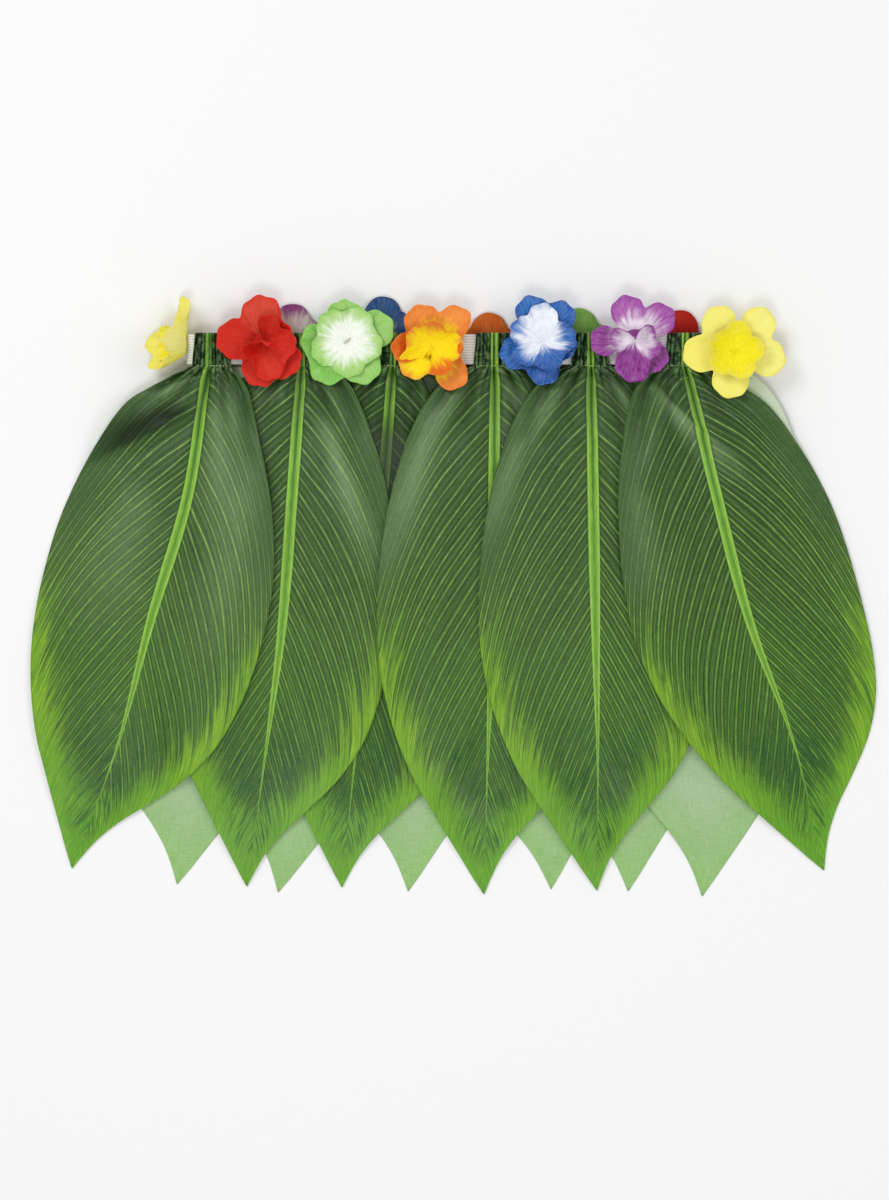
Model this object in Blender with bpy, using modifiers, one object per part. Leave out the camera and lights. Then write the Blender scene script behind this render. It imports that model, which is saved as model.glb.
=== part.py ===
"""A hula skirt, laid flat on its back: twelve printed cloth leaves, each gathered on a casing
round one loop of white elastic, with twelve two-layer cloth flowers sewn along the loop.

X runs along the waistband, Y from the leaf tips up to the waistband, Z up from the floor.
Every size below is in millimetres, and the meshes are scaled to metres.
"""

import math
from collections import namedtuple

import bmesh
import bpy
import numpy as np
from mathutils import Matrix, Vector
from mathutils.bvhtree import BVHTree

MM = 0.001

# Sizes of the cloth
CLOTH = 1.0
GAP = 0.3
WELD = 0.01
ELASTIC_THICK = 1.2
ELASTIC_WIDE = 20.0
WAIST_HALF = 185.6
FOLD_STEPS = 6

# Heights of the two runs of elastic above the floor
BACK_ELASTIC_LOW = 9.3
FRONT_ELASTIC_LOW = 13.5
FRONT_ELASTIC_TOP = FRONT_ELASTIC_LOW + ELASTIC_THICK
BACK_ELASTIC_TOP = BACK_ELASTIC_LOW + ELASTIC_THICK

# The casing that each leaf makes round the elastic
SEAM_Y = -ELASTIC_WIDE / 2 - 1.2
CASING_TOP_Y = ELASTIC_WIDE / 2 + GAP
CASING_BULGE = 0.6
SEAM_TURN = 1.0
SEAM_DIP = 1.2
GATHERS = 5
OUTER_PANEL_ROW = 3
CASING_GATHER = 0.8
BLADE_GATHER = 2.2
GATHER_START = 4.0
GATHER_REACH = 62.0
FAN_REACH = 45.0
SHOULDER_START = 4.0
SHOULDER_FULL = 12.0
SHOULDER_FADE = 75.0
BEND_PLACES = [0, 0.25, 0.5, 0.75, 1]

# The cut of every leaf: distance below the seam, and the half widths on its two sides
LeafCut = namedtuple("LeafCut", "along straight_side drip_side")
LEAF_CUT = [
    LeafCut(0, 13.0, 13.0),
    LeafCut(4, 24.0, 24.0),
    LeafCut(11, 34.0, 33.0),
    LeafCut(24, 45.0, 42.5),
    LeafCut(45, 56.0, 53.5),
    LeafCut(72, 65.0, 64.0),
    LeafCut(108, 73.0, 73.0),
    LeafCut(148, 77.5, 77.5),
    LeafCut(188, 77.0, 77.5),
    LeafCut(222, 71.5, 74.0),
    LeafCut(252, 62.0, 65.0),
    LeafCut(277, 50.5, 50.5),
    LeafCut(298, 37.5, 33.0),
    LeafCut(316, 26.0, 17.5),
    LeafCut(332, 15.5, 8.0),
    LeafCut(345, 7.0, 3.2),
    LeafCut(355, 0.0, 0.0),
]
LEAF_LONG = LEAF_CUT[-1].along

# One row for each leaf, from the lowest in the pile to the highest. The tab is the middle of its
# casing on the elastic. Bends shift the blade sideways a quarter, half and three quarters of the
# way down, and the spreads widen its shoulders. Slope is how far the blade takes to come down.
Leaf = namedtuple("Leaf", "name side tab_x tip_x tip_y bends left_spread right_spread slope billow phase")
LEAVES = [
    Leaf("leaf_back_1", "back", -152.3, -193.8, -363.1, (2, 3, 2), 0, 0, 85, 0.0, 0.0),
    Leaf("leaf_back_2", "back", -86.4, -125.1, -368.6, (1, 2, 1), 0, 0, 85, 0.0, 0.0),
    Leaf("leaf_back_3", "back", -21.8, -36.7, -367.9, (0, 0, 0), 0, 0, 85, 0.0, 0.0),
    Leaf("leaf_back_4", "back", 44.2, 60.5, -366.5, (-1, -1, -1), 0, 0, 85, 0.0, 0.0),
    Leaf("leaf_back_5", "back", 106.0, 112.9, -367.9, (-1, -2, -1), 0, 0, 85, 0.0, 0.0),
    Leaf("leaf_back_6", "back", 167.3, 163.2, -371.3, (-1, -2, -1), 0, 3, 85, 0.0, 0.0),
    Leaf("leaf_front_3", "front", -47.6, -81.6, -365.2, (2, 3, 2), 0, 0, 55, 0.8, 0.4),
    Leaf("leaf_front_2", "front", -108.8, -146.2, -364.5, (1, 2, 1), 0, 0, 95, 1.6, 1.9),
    Leaf("leaf_front_1", "front", -169.5, -265.2, -352.2, (-1, 3, 4), 4, -8, 115, 2.2, 3.1),
    Leaf("leaf_front_4", "front", 21.1, 15.0, -369.9, (1, 2, 1), 0, 0, 105, 1.6, 4.4),
    Leaf("leaf_front_5", "front", 86.4, 91.8, -367.2, (0, 0, 0), 0, 0, 110, 1.8, 0.9),
    Leaf("leaf_front_6", "front", 150.3, 246.2, -353.6, (-2, -4, -2), 0, -3, 125, 2.2, 2.5),
]
FRONT_COLUMNS = 10
BACK_COLUMNS = 8

# The soft waves of a blade, and the gap and the map spacing with which the leaves are piled
BILLOW_EASE = 60.0
BILLOW_LENGTH = 42.0
BILLOW_SKEW = 1.3
LAYER_GAP = 0.4
MAP_STEP = 3.0

# The stamped blank that every flower is made from: five round petals on a small hub
PETALS = 5
HOLE_RADIUS = 1.6
HUB_RADIUS = 4.0
PETAL_REACH = 20.5
PETAL_ROUND = 13.0
HUB_RISE = 2.0
PETAL_CUP = 1.8
INNER_SCALE = 0.8
INNER_RISE = 1.6
INNER_SPREAD = 0.4
INNER_EXTRA_LIFT = 18.0
LEFT_FACING = -75.0
NEAR_COLUMNS = 6
FAR_COLUMNS = 4

# One row for each flower. Shoulder is the radius where the petals start to stand up, and lifts
# are how far the five of them stand up from flat, in degrees, anticlockwise from the first.
Flower = namedtuple("Flower", "name place x y turn shoulder lifts")
FLOWERS = [
    Flower("flower_front_red", "front", -134.5, 4.5, 95, 12, (20, 8, 72, 18, 42)),
    Flower("flower_front_green", "front", -77.9, 5.3, 102, 12, (34, 14, 16, 6, 4)),
    Flower("flower_front_orange", "front", -20.0, 0.5, 108, 12, (14, 15, 44, 14, 8)),
    Flower("flower_front_blue", "front", 53.7, 4.8, 112, 12, (4, 26, 16, 30, 10)),
    Flower("flower_front_purple", "front", 116.3, 6.0, 112, 12, (20, 15, 26, 18, 14)),
    Flower("flower_front_yellow", "front", 184.3, -1.9, 116, 12, (10, 4, 8, 5, 5)),
    Flower("flower_left_yellow", "left", -186.2, 3.0, 90, 6, (-12, 50, 62, 66, 60)),
    Flower("flower_back_red", "back", 141.0, -4.0, 110, 12, (14, 14, 14, 14, 14)),
    Flower("flower_back_green", "back", 80.2, -4.0, 88, 12, (10, 12, 12, 12, 0)),
    Flower("flower_back_orange", "back", 18.4, -7.0, 90, 12, (19, 19, 14, 14, 19)),
    Flower("flower_back_blue", "back", -53.7, 4.0, 90, 12, (6, 6, 12, 12, 0)),
    Flower("flower_back_purple", "back", -115.0, -1.0, 90, 12, (6, 24, 12, 12, 6)),
]
FLOWER_COLOURS = {
    "red": (0.78, 0.05, 0.04),
    "green": (0.36, 0.66, 0.22),
    "orange": (0.88, 0.33, 0.06),
    "blue": (0.05, 0.20, 0.55),
    "purple": (0.42, 0.08, 0.45),
    "yellow": (0.90, 0.84, 0.10),
}
LEAF_GREEN = (0.06, 0.19, 0.03)
ELASTIC_WHITE = (0.86, 0.86, 0.83)


def clear_scene():
    for old in list(bpy.data.objects):
        bpy.data.objects.remove(old)


def cloth_material(name, colour, roughness):
    material = bpy.data.materials.new(name)
    material.use_nodes = True
    shader = material.node_tree.nodes["Principled BSDF"]
    shader.inputs["Base Color"].default_value = (*colour, 1.0)
    shader.inputs["Roughness"].default_value = roughness
    shader.inputs["Metallic"].default_value = 0.0
    return material


def ease(share):
    """0 to 1 with no corner at either end."""
    share = np.clip(share, 0.0, 1.0)
    return share * share * (3 - 2 * share)


def cut_half_width(along, column):
    """The leaf's half width on one side, on a smooth curve through the table of its cut."""
    places = np.array([row.along for row in LEAF_CUT], float)
    widths = np.array([getattr(row, column) for row in LEAF_CUT], float)
    slopes = np.gradient(widths, places)
    along = np.clip(along, places[0], places[-1])
    left = np.clip(np.searchsorted(places, along) - 1, 0, len(places) - 2)
    step = places[left + 1] - places[left]
    t = (along - places[left]) / step
    start = (2 * t**3 - 3 * t**2 + 1) * widths[left] + (t**3 - 2 * t**2 + t) * step * slopes[left]
    end = (3 * t**2 - 2 * t**3) * widths[left + 1] + (t**3 - t**2) * step * slopes[left + 1]
    return np.maximum(start + end, 0.0)


def gather_wave(across):
    """The gathers across a leaf, from 0 in a valley to 1 on a ridge."""
    return 0.5 + 0.5 * np.cos(math.pi * GATHERS * (across + 1))


def blade_plan(leaf, along, across):
    """X and Y of points of a blade. Across runs from -1 on its left edge to 1 on its right, from above."""
    tab = np.array([leaf.tab_x, SEAM_Y])
    run = np.array([leaf.tip_x, leaf.tip_y]) - tab
    scale = np.hypot(*run) / LEAF_LONG
    down = run / np.hypot(*run)
    # The printed face of a front leaf is seen from above, and that of a back leaf from below.
    right_side, left_side = ("drip_side", "straight_side")
    if leaf.side == "back":
        right_side, left_side = left_side, right_side
    shoulder = ease(along / SHOULDER_START) * (1 - ease((along - SHOULDER_FULL) / SHOULDER_FADE))
    half = np.where(
        across > 0,
        cut_half_width(along, right_side) + leaf.right_spread * shoulder,
        cut_half_width(along, left_side) + leaf.left_spread * shoulder,
    )
    turn = ease(along / FAN_REACH) * math.atan2(down[0], -down[1])
    bend = np.interp(along / LEAF_LONG, BEND_PLACES, [0, *leaf.bends, 0])
    sideways = across * half + bend
    x = tab[0] + scale * along * down[0] + sideways * np.cos(turn)
    y = tab[1] + scale * along * down[1] + sideways * np.sin(turn)
    return x, y


def casing_path(side):
    """Y and Z of the cloth's inner face round the elastic, from its free edge to the seam."""
    edge_y = SEAM_Y + SEAM_TURN
    if side == "front":
        low, high = FRONT_ELASTIC_LOW - GAP, FRONT_ELASTIC_TOP + GAP
    else:
        low, high = BACK_ELASTIC_TOP + GAP, BACK_ELASTIC_LOW - GAP
    middle = (low + high) / 2
    return [
        (edge_y, low),
        (CASING_TOP_Y, low),
        (CASING_TOP_Y + CASING_BULGE, middle),
        (CASING_TOP_Y, high),
        (edge_y, high),
        (SEAM_Y, high - math.copysign(SEAM_DIP, high - low)),
    ]


def grid_sheet(columns, rows):
    """An open grid, and the column and row of each of its vertices."""
    sheet = bmesh.new()
    bmesh.ops.create_grid(sheet, x_segments=columns, y_segments=rows, size=0.5)
    sheet.verts.ensure_lookup_table()
    flat = np.array([v.co for v in sheet.verts])
    spread = flat.max(0) - flat.min(0)
    column = np.rint((flat[:, 0] - flat[:, 0].min()) / spread[0] * columns).astype(int)
    row = np.rint((flat[:, 1] - flat[:, 1].min()) / spread[1] * rows).astype(int)
    return sheet, column, row


def sheet_object(name, sheet, points, material, up):
    """Puts the grid's vertices at these points and thickens it to cloth, on the side that faces up."""
    for vertex, point in zip(sheet.verts, points, strict=True):
        vertex.co = Vector(point) * MM
    bmesh.ops.remove_doubles(sheet, verts=sheet.verts, dist=WELD * MM)
    sheet.normal_update()
    facing = sum((face.normal * face.calc_area() for face in sheet.faces), Vector())
    if facing.dot(up) < 0:
        bmesh.ops.reverse_faces(sheet, faces=sheet.faces)
    mesh = bpy.data.meshes.new(name)
    sheet.to_mesh(mesh)
    sheet.free()
    mesh.materials.append(material)
    mesh.shade_smooth()
    made = bpy.data.objects.new(name, mesh)
    bpy.data.collections["hula_skirt"].objects.link(made)
    wall = made.modifiers.new("cloth", "SOLIDIFY")
    wall.thickness = CLOTH * MM
    wall.offset = 1.0
    return made


class Pile:
    """The highest cloth so far over each place on the floor, which the next leaf is laid on."""

    def __init__(self):
        self.x = np.arange(-300.0, 300.0, MAP_STEP)
        self.y = np.arange(-390.0, 60.0, MAP_STEP)
        self.top = np.zeros((len(self.x), len(self.y)))

    def under(self, points_x, points_y, neighbours):
        """For each vertex, the highest cloth under any of the faces round it."""
        found = np.zeros(len(points_x))
        for index, around in enumerate(neighbours):
            near_x, near_y = points_x[around], points_y[around]
            columns = (self.x >= near_x.min() - MAP_STEP) & (self.x <= near_x.max() + MAP_STEP)
            rows = (self.y >= near_y.min() - MAP_STEP) & (self.y <= near_y.max() + MAP_STEP)
            part = self.top[np.ix_(columns, rows)]
            found[index] = part.max() if part.size else 0.0
        return found

    def add(self, made):
        """Takes in the upper surface of one more piece."""
        graph = bpy.context.evaluated_depsgraph_get()
        tree = BVHTree.FromObject(made, graph)
        corners = np.array([made.matrix_world @ Vector(c) for c in made.bound_box]) / MM
        low, high = corners.min(0), corners.max(0)
        for column in np.flatnonzero((self.x > low[0]) & (self.x < high[0])):
            for row in np.flatnonzero((self.y > low[1]) & (self.y < high[1])):
                start = Vector((self.x[column] * MM, self.y[row] * MM, high[2] * MM + MM))
                hit = tree.ray_cast(start, Vector((0, 0, -1)))[0]
                if hit is not None:
                    self.top[column, row] = max(self.top[column, row], hit.z / MM)


def neighbours_of(sheet):
    """For each vertex, the indices of every vertex that shares a face with it."""
    return [
        sorted({other.index for face in vertex.link_faces for other in face.verts})
        for vertex in sheet.verts
    ]


def make_leaf(leaf, pile, material):
    """One leaf: its casing round the elastic, its gathers, and its blade laid on the pile."""
    front = leaf.side == "front"
    columns = FRONT_COLUMNS if front else BACK_COLUMNS
    cut = LEAF_CUT if front else LEAF_CUT[:2] + LEAF_CUT[2::2]
    casing = casing_path(leaf.side)
    blade = [row.along for row in cut[1:]]
    sheet, column, row = grid_sheet(columns, len(casing) + len(blade) - 1)
    sheet.verts.index_update()
    across = column / columns * 2 - 1
    outward = 1.0 if front else -1.0
    on_blade = row >= len(casing)
    along = np.zeros(len(row))
    along[on_blade] = np.array(blade)[row[on_blade] - len(casing)]
    x, y = blade_plan(leaf, along, across)
    z = np.zeros(len(row))
    seam_z = casing[-1][1]
    for index, (casing_y, casing_z) in enumerate(casing):
        here = row == index
        y[here], z[here] = casing_y, casing_z
    wave = gather_wave(across)
    on_outer_panel = (row >= OUTER_PANEL_ROW) & (row < len(casing))
    z[on_outer_panel] += outward * CASING_GATHER * wave[on_outer_panel]
    # The inner face of a back leaf is its upper one, so the pile is one wall lower.
    lift = 0.0 if front else CLOTH
    below = pile.under(x, y, neighbours_of(sheet))
    support = lift + below + np.where(below > 0, LAYER_GAP, 0.0)
    slope = seam_z + (lift - seam_z) * ease(along / leaf.slope)
    gather = BLADE_GATHER * wave * (1 - ease(along / GATHER_REACH)) * ease(along / GATHER_START)
    billow = leaf.billow * ease(along / BILLOW_EASE) * ease((LEAF_LONG - along) / BILLOW_EASE)
    billow = billow * (0.5 + 0.5 * np.sin(along / BILLOW_LENGTH + across * BILLOW_SKEW + leaf.phase))
    laid = np.maximum(support, slope) + (gather + billow if front else 0.0)
    z[on_blade] = laid[on_blade]
    points = np.stack([x, y, z], 1)
    return sheet_object(leaf.name, sheet, points, material, Vector((0, 0, outward)))


def blank_radius(angle):
    """The edge of a stamped blank, where each petal is a disc set off from the middle."""
    off_axis = np.abs(np.mod(angle * PETALS / (2 * math.pi) + 0.5, 1.0) - 0.5) * 2 * math.pi / PETALS
    inside = PETAL_ROUND**2 - (PETAL_REACH * np.sin(off_axis)) ** 2
    return PETAL_REACH * np.cos(off_axis) + np.sqrt(inside), off_axis * PETALS / math.pi


def petal_lift(lifts, angle):
    """How far the cloth stands up at this angle round the flower, easing from petal to petal."""
    place = np.mod(angle / (2 * math.pi) * PETALS, PETALS)
    first = np.floor(place).astype(int) % PETALS
    share = ease(place - np.floor(place))
    lifts = np.radians(np.array(lifts, float))
    return lifts[first] * (1 - share) + lifts[(first + 1) % PETALS] * share


def flower_frame(flower):
    """Where the flower's middle is, and which way it faces."""
    turn = Matrix.Rotation(math.radians(flower.turn), 4, "Z")
    if flower.place == "front":
        height, facing = FRONT_ELASTIC_TOP + GAP, Matrix.Identity(4)
    elif flower.place == "back":
        height, facing = BACK_ELASTIC_LOW - GAP, Matrix.Rotation(math.pi, 4, "Y")
    else:
        height = (BACK_ELASTIC_LOW + FRONT_ELASTIC_TOP) / 2
        facing = Matrix.Rotation(math.radians(LEFT_FACING), 4, "Y")
    return Matrix.Translation((flower.x, flower.y, height)) @ facing @ turn


def make_flower_layer(flower, layer, material):
    """One stamped blank, bent up petal by petal and stitched down at its middle."""
    inner = layer == "inner"
    size = INNER_SCALE if inner else 1.0
    rings = 2 if flower.place == "back" else 3
    columns = PETALS * (FAR_COLUMNS if flower.place == "back" else NEAR_COLUMNS)
    sheet, column, row = grid_sheet(columns, rings)
    angle = column / columns * 2 * math.pi
    edge, off_petal = blank_radius(angle)
    edge = edge * size
    shoulder = flower.shoulder * size
    steps = [HOLE_RADIUS, shoulder, edge] if rings == 2 else [HOLE_RADIUS, HUB_RADIUS, shoulder, edge]
    reach = np.choose(row, [step + 0 * edge for step in steps])
    lift = petal_lift(flower.lifts, angle + (math.pi / PETALS if inner else 0.0))
    lift = lift + (math.radians(INNER_EXTRA_LIFT) if inner else 0.0)
    beyond = np.maximum(reach - shoulder, 0.0)
    hub_share = ease((reach - HUB_RADIUS) / (shoulder - HUB_RADIUS)) if shoulder > HUB_RADIUS else 1.0
    cup = PETAL_CUP * off_petal**2 * ease(beyond / edge)
    plan = np.minimum(reach, shoulder) + beyond * np.cos(lift)
    rise = HUB_RISE * hub_share + beyond * np.sin(lift) + cup
    if inner:
        rise = rise + INNER_RISE + INNER_SPREAD * ease(reach / shoulder)
        angle = angle + math.pi / PETALS
    flat = np.stack([plan * np.cos(angle), plan * np.sin(angle), rise], 1)
    frame = flower_frame(flower)
    points = np.array([frame @ Vector(point) for point in flat])
    # The far flowers face the floor, so their inner blank is the lower one.
    lower_layers = (0 if inner else 1) if flower.place == "back" else (1 if inner else 0)
    own_wall = CLOTH if flower.place == "back" else 0.0
    points[:, 2] = np.maximum(points[:, 2], own_wall + lower_layers * (CLOTH + GAP))
    facing = frame.to_3x3() @ Vector((0, 0, 1))
    return sheet_object(f"{flower.name}_{layer}", sheet, points, material, facing)


def make_waistband(material):
    """The elastic loop, pressed flat: a front and a back run joined by a fold at each end."""
    middle = (BACK_ELASTIC_LOW + FRONT_ELASTIC_TOP) / 2
    fold_radius = (FRONT_ELASTIC_TOP - BACK_ELASTIC_LOW - ELASTIC_THICK) / 2
    straight = WAIST_HALF - fold_radius - ELASTIC_THICK / 2
    fold = [math.pi * step / FOLD_STEPS - math.pi / 2 for step in range(FOLD_STEPS + 1)]
    right = [(straight + fold_radius * math.cos(a), middle + fold_radius * math.sin(a)) for a in fold]
    loop = right + [(-x, 2 * middle - z) for x, z in right]
    loop.append(loop[0])
    sheet, column, row = grid_sheet(len(loop) - 1, 1)
    points = [
        (loop[c][0], ELASTIC_WIDE * (0.5 - r), loop[c][1])
        for c, r in zip(column, row, strict=True)
    ]
    made = sheet_object("waistband", sheet, points, material, Vector((0, 0, 1)))
    made.modifiers["cloth"].thickness = ELASTIC_THICK * MM
    made.modifiers["cloth"].offset = 0.0
    return made


def centre_on_floor(pieces):
    """Moves everything so that the origin is under the middle of the skirt, on the floor."""
    graph = bpy.context.evaluated_depsgraph_get()
    corners = np.array(
        [piece.matrix_world @ Vector(c) for piece in pieces for c in piece.evaluated_get(graph).bound_box]
    )
    low, high = corners.min(0), corners.max(0)
    shift = Vector((-(low[0] + high[0]) / 2, -(low[1] + high[1]) / 2, -low[2]))
    for piece in pieces:
        piece.data.transform(Matrix.Translation(shift))
    print("size in mm", np.round((high - low) / MM, 1), "shift", [round(s / MM, 2) for s in shift])


def main():
    clear_scene()
    group = bpy.data.collections.new("hula_skirt")
    bpy.context.scene.collection.children.link(group)
    leaf_cloth = cloth_material("leaf_cloth", LEAF_GREEN, 0.5)
    pieces = [make_waistband(cloth_material("elastic", ELASTIC_WHITE, 0.8))]
    petals = {
        colour: cloth_material(f"{colour}_petals", rgb, 0.7) for colour, rgb in FLOWER_COLOURS.items()
    }
    flowers = []
    for flower in FLOWERS:
        colour = petals[flower.name.split("_")[-1]]
        flowers.append([make_flower_layer(flower, layer, colour) for layer in ("outer", "inner")])
    bpy.context.view_layer.update()
    pile = Pile()
    for flower, layers in zip(FLOWERS, flowers, strict=True):
        pieces += layers
        if flower.place == "back":
            for layer in layers:
                pile.add(layer)
    for leaf in LEAVES:
        made = make_leaf(leaf, pile, leaf_cloth)
        bpy.context.view_layer.update()
        pile.add(made)
        pieces.append(made)
    centre_on_floor(pieces)


main()
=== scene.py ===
# %% [markdown]
# # A leaf skirt laid flat
# The real skirt is a loop of white elastic with twelve printed cloth leaves gathered on it and a
# row of two-layer cloth flowers sewn over the gathers. It lies on its back, so six leaves show
# their print and the six behind them show their pale reverse.
# The packed model gives the frame: what each piece is, where it lies and how big it is. This
# lesson makes each piece again as real cloth, a third of a millimetre thick.

# %% Load the frame
import math
from collections import namedtuple

import bmesh
import bpy
import numpy as np
from mathutils import Matrix, Vector


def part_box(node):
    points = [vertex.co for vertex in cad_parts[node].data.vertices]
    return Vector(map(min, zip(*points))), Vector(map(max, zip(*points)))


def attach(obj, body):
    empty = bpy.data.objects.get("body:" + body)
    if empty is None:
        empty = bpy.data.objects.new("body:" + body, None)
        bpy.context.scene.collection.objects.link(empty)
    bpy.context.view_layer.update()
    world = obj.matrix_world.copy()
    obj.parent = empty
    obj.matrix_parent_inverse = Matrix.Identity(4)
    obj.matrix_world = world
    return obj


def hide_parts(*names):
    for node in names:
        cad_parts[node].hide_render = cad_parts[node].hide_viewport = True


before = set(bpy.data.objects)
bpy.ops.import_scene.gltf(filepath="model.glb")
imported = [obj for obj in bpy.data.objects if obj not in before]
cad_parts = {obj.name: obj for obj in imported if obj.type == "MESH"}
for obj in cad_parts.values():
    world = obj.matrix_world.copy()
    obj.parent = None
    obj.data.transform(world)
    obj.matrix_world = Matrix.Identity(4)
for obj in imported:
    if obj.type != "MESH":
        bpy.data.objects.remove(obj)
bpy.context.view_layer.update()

MM = 0.001

# %% [markdown]
# ## The drawing's origin
# Every size below is in millimetres from the middle of the waistband, the way that a pattern
# cutter would measure it. The packed band says where that middle is in the frame.

# %% Find the middle of the waistband
band_low, band_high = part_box("waistband")
band_middle = (band_low + band_high) / 2
ORIGIN = Vector((band_middle.x, band_middle.y, 0.0)) / MM
print("the band's middle in the frame", [round(value, 2) for value in ORIGIN])

# %% [markdown]
# ## Camera
# The photograph looks straight down on the skirt. A long lens far above keeps the leaves the
# same size from the middle to the edge. The photograph's height covers 816 mm of floor, so
# the lens and that height give the distance.

# %% Camera
PHOTO_HEIGHT = 816.0
LENS = 120.0
SENSOR = 36.0
AIM = (-3.9, -2.5)
camera_data = bpy.data.cameras.new("camera")
camera_data.lens = LENS
camera_data.sensor_width = SENSOR
camera = bpy.data.objects.new("camera", camera_data)
bpy.context.scene.collection.objects.link(camera)
camera_height = PHOTO_HEIGHT * LENS / SENSOR
camera.location = Vector((*AIM, camera_height)) * MM
bpy.context.scene.camera = camera
print("camera is", round(camera_height), "mm above the floor")

# %% [markdown]
# ## Wires for shader maths
# A finish is a sum over places on the cloth: how far a point is from the rib, which vein it is
# on, how close the edge is. Written in Python such a sum is one line, while in nodes it is
# twenty. So a small class holds one output of a node, and Python's own signs on it add the
# Math nodes. Every other node comes from its `node` method.


# %% The wire class
class Wire:
    """An output of a node, or the bare node tree to start from."""

    def __init__(self, tree, socket=None):
        self.tree = tree
        self.socket = socket

    def feed(self, node, sockets):
        """Gives each named socket a value or a wire."""
        for name, value in sockets.items():
            if isinstance(value, Wire):
                self.tree.links.new(value.socket, node.inputs[name])
            else:
                node.inputs[name].default_value = value

    def node(self, kind, settings, sockets, take=0):
        """Adds a node: its settings first, a ramp's stops among them, and then its sockets."""
        made = self.tree.nodes.new("ShaderNode" + kind)
        for name, value in settings.items():
            if name == "stops":
                points = made.color_ramp.elements
                while len(points) < len(value):
                    points.new(0.5)
                for point, (place, height) in zip(points, value, strict=True):
                    point.position = place
                    point.color = (height, height, height, 1.0)
            else:
                setattr(made, name, value)
        self.feed(made, sockets)
        if isinstance(take, tuple):
            return [Wire(self.tree, made.outputs[name]) for name in take]
        return Wire(self.tree, made.outputs[take])

    def maths(self, operation, *others):
        """A Math node with this wire first."""
        return self.node("Math", {"operation": operation}, dict(enumerate((self, *others))))

    def __add__(self, other):
        return self.maths("ADD", other)

    def __sub__(self, other):
        return self.maths("SUBTRACT", other)

    def __rsub__(self, other):
        return self.node("Math", {"operation": "SUBTRACT"}, {0: other, 1: self})

    def __mul__(self, other):
        return self.maths("MULTIPLY", other)

    def __truediv__(self, other):
        return self.maths("DIVIDE", other)

    def __abs__(self):
        return self.maths("ABSOLUTE")

    def __gt__(self, other):
        return self.maths("GREATER_THAN", other)

    __radd__ = __add__
    __rmul__ = __mul__

    def smooth(self, low, high):
        """0 below low, 1 above high, and an even rise between. The two may be swapped."""
        settings = {"interpolation_type": "SMOOTHSTEP"}
        return self.node("MapRange", settings, {"Value": self, "From Min": low, "From Max": high})


print("a wire also has", [name for name in vars(Wire) if not name.startswith("_")])

# %% [markdown]
# More helpers: a colour as a paint chart gives it, a mix of two colours by a mask, a curve through
# a few heights, the two places that a flat map holds, and a cloud of noise. Dividing the two
# places of a cloud by unlike sizes stretches it along a fibre.


# %% Colour and noise helpers
def paint(red, green, blue):
    """A colour from its 0 to 255 chart values, in the linear light that nodes use."""
    return (*[((part / 255 + 0.055) / 1.055) ** 2.4 for part in (red, green, blue)], 1.0)


def mix(mask, first, second, kind="MIX"):
    """The first colour where the mask is 0, and the second where it is 1."""
    source = next(value for value in (mask, first, second) if isinstance(value, Wire))
    settings = {"data_type": "RGBA", "blend_type": kind}
    return source.node("Mix", settings, {0: mask, 6: first, 7: second}, take=2)


def curve(place, stops):
    """A height from 0 to 1 at each place from 0 to 1, through (place, height) stops."""
    return place.node("ValToRGB", {"stops": stops}, {"Fac": place}, take="Color")


def flat_map(start, name):
    """The two places that one of the cloth's flat maps gives."""
    place = start.node("UVMap", {"uv_map": name}, {})
    return start.node("SeparateXYZ", {}, {0: place}, take=("X", "Y"))


def cloud(across, along, layer, detail=2.0):
    """Noise from 0 to 1, about one blob for each unit of its two places."""
    place = across.node("CombineXYZ", {}, {"X": across, "Y": along, "Z": layer})
    sockets = {"Vector": place, "Scale": 1.0, "Detail": detail, "Roughness": 0.55}
    return across.node("TexNoise", {}, sockets).smooth(0.25, 0.75)


def new_finish(name):
    """A material and a wire to start its sums from."""
    material = bpy.data.materials.new(name)
    material.use_nodes = True
    return material, Wire(material.node_tree)


def end_finish(material, start, sockets):
    start.feed(material.node_tree.nodes["Principled BSDF"], sockets)
    return material


print("a mid grey is", round(paint(128, 128, 128)[0], 3), "in linear light")

# %% [markdown]
# ## Floor and light
# The skirt was photographed on white. A wide pale floor under an even white sky does the same
# with hardly a shadow. Satin shows its folds by what it mirrors, so one small softbox stands
# toward the leaf tips, 19 degrees off the camera: cloth that slopes 9 degrees toward the tips
# mirrors it, which the shoulders of the leaves do. Two wider ones round off the flowers.

# %% Floor and light
FLOOR_HALF = 9.0
FLOOR_DROP = 0.0001
SKY_STRENGTH = 0.6
floor_mesh = bpy.data.meshes.new("floor")
floor_form = bmesh.new()
bmesh.ops.create_grid(floor_form, x_segments=1, y_segments=1, size=FLOOR_HALF)
floor_form.to_mesh(floor_mesh)
floor_form.free()
floor = bpy.data.objects.new("floor", floor_mesh)
floor.location.z = -FLOOR_DROP
bpy.context.scene.collection.objects.link(floor)
floor_finish, start = new_finish("pale_floor")
end_finish(floor_finish, start, {"Base Color": paint(242, 242, 242), "Roughness": 0.9})
floor_mesh.materials.append(floor_finish)

sky = bpy.data.worlds.new("sky")
sky.use_nodes = True
sky.node_tree.nodes["Background"].inputs["Color"].default_value = (1.0, 1.0, 1.0, 1.0)
sky.node_tree.nodes["Background"].inputs["Strength"].default_value = SKY_STRENGTH
bpy.context.scene.world = sky

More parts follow.
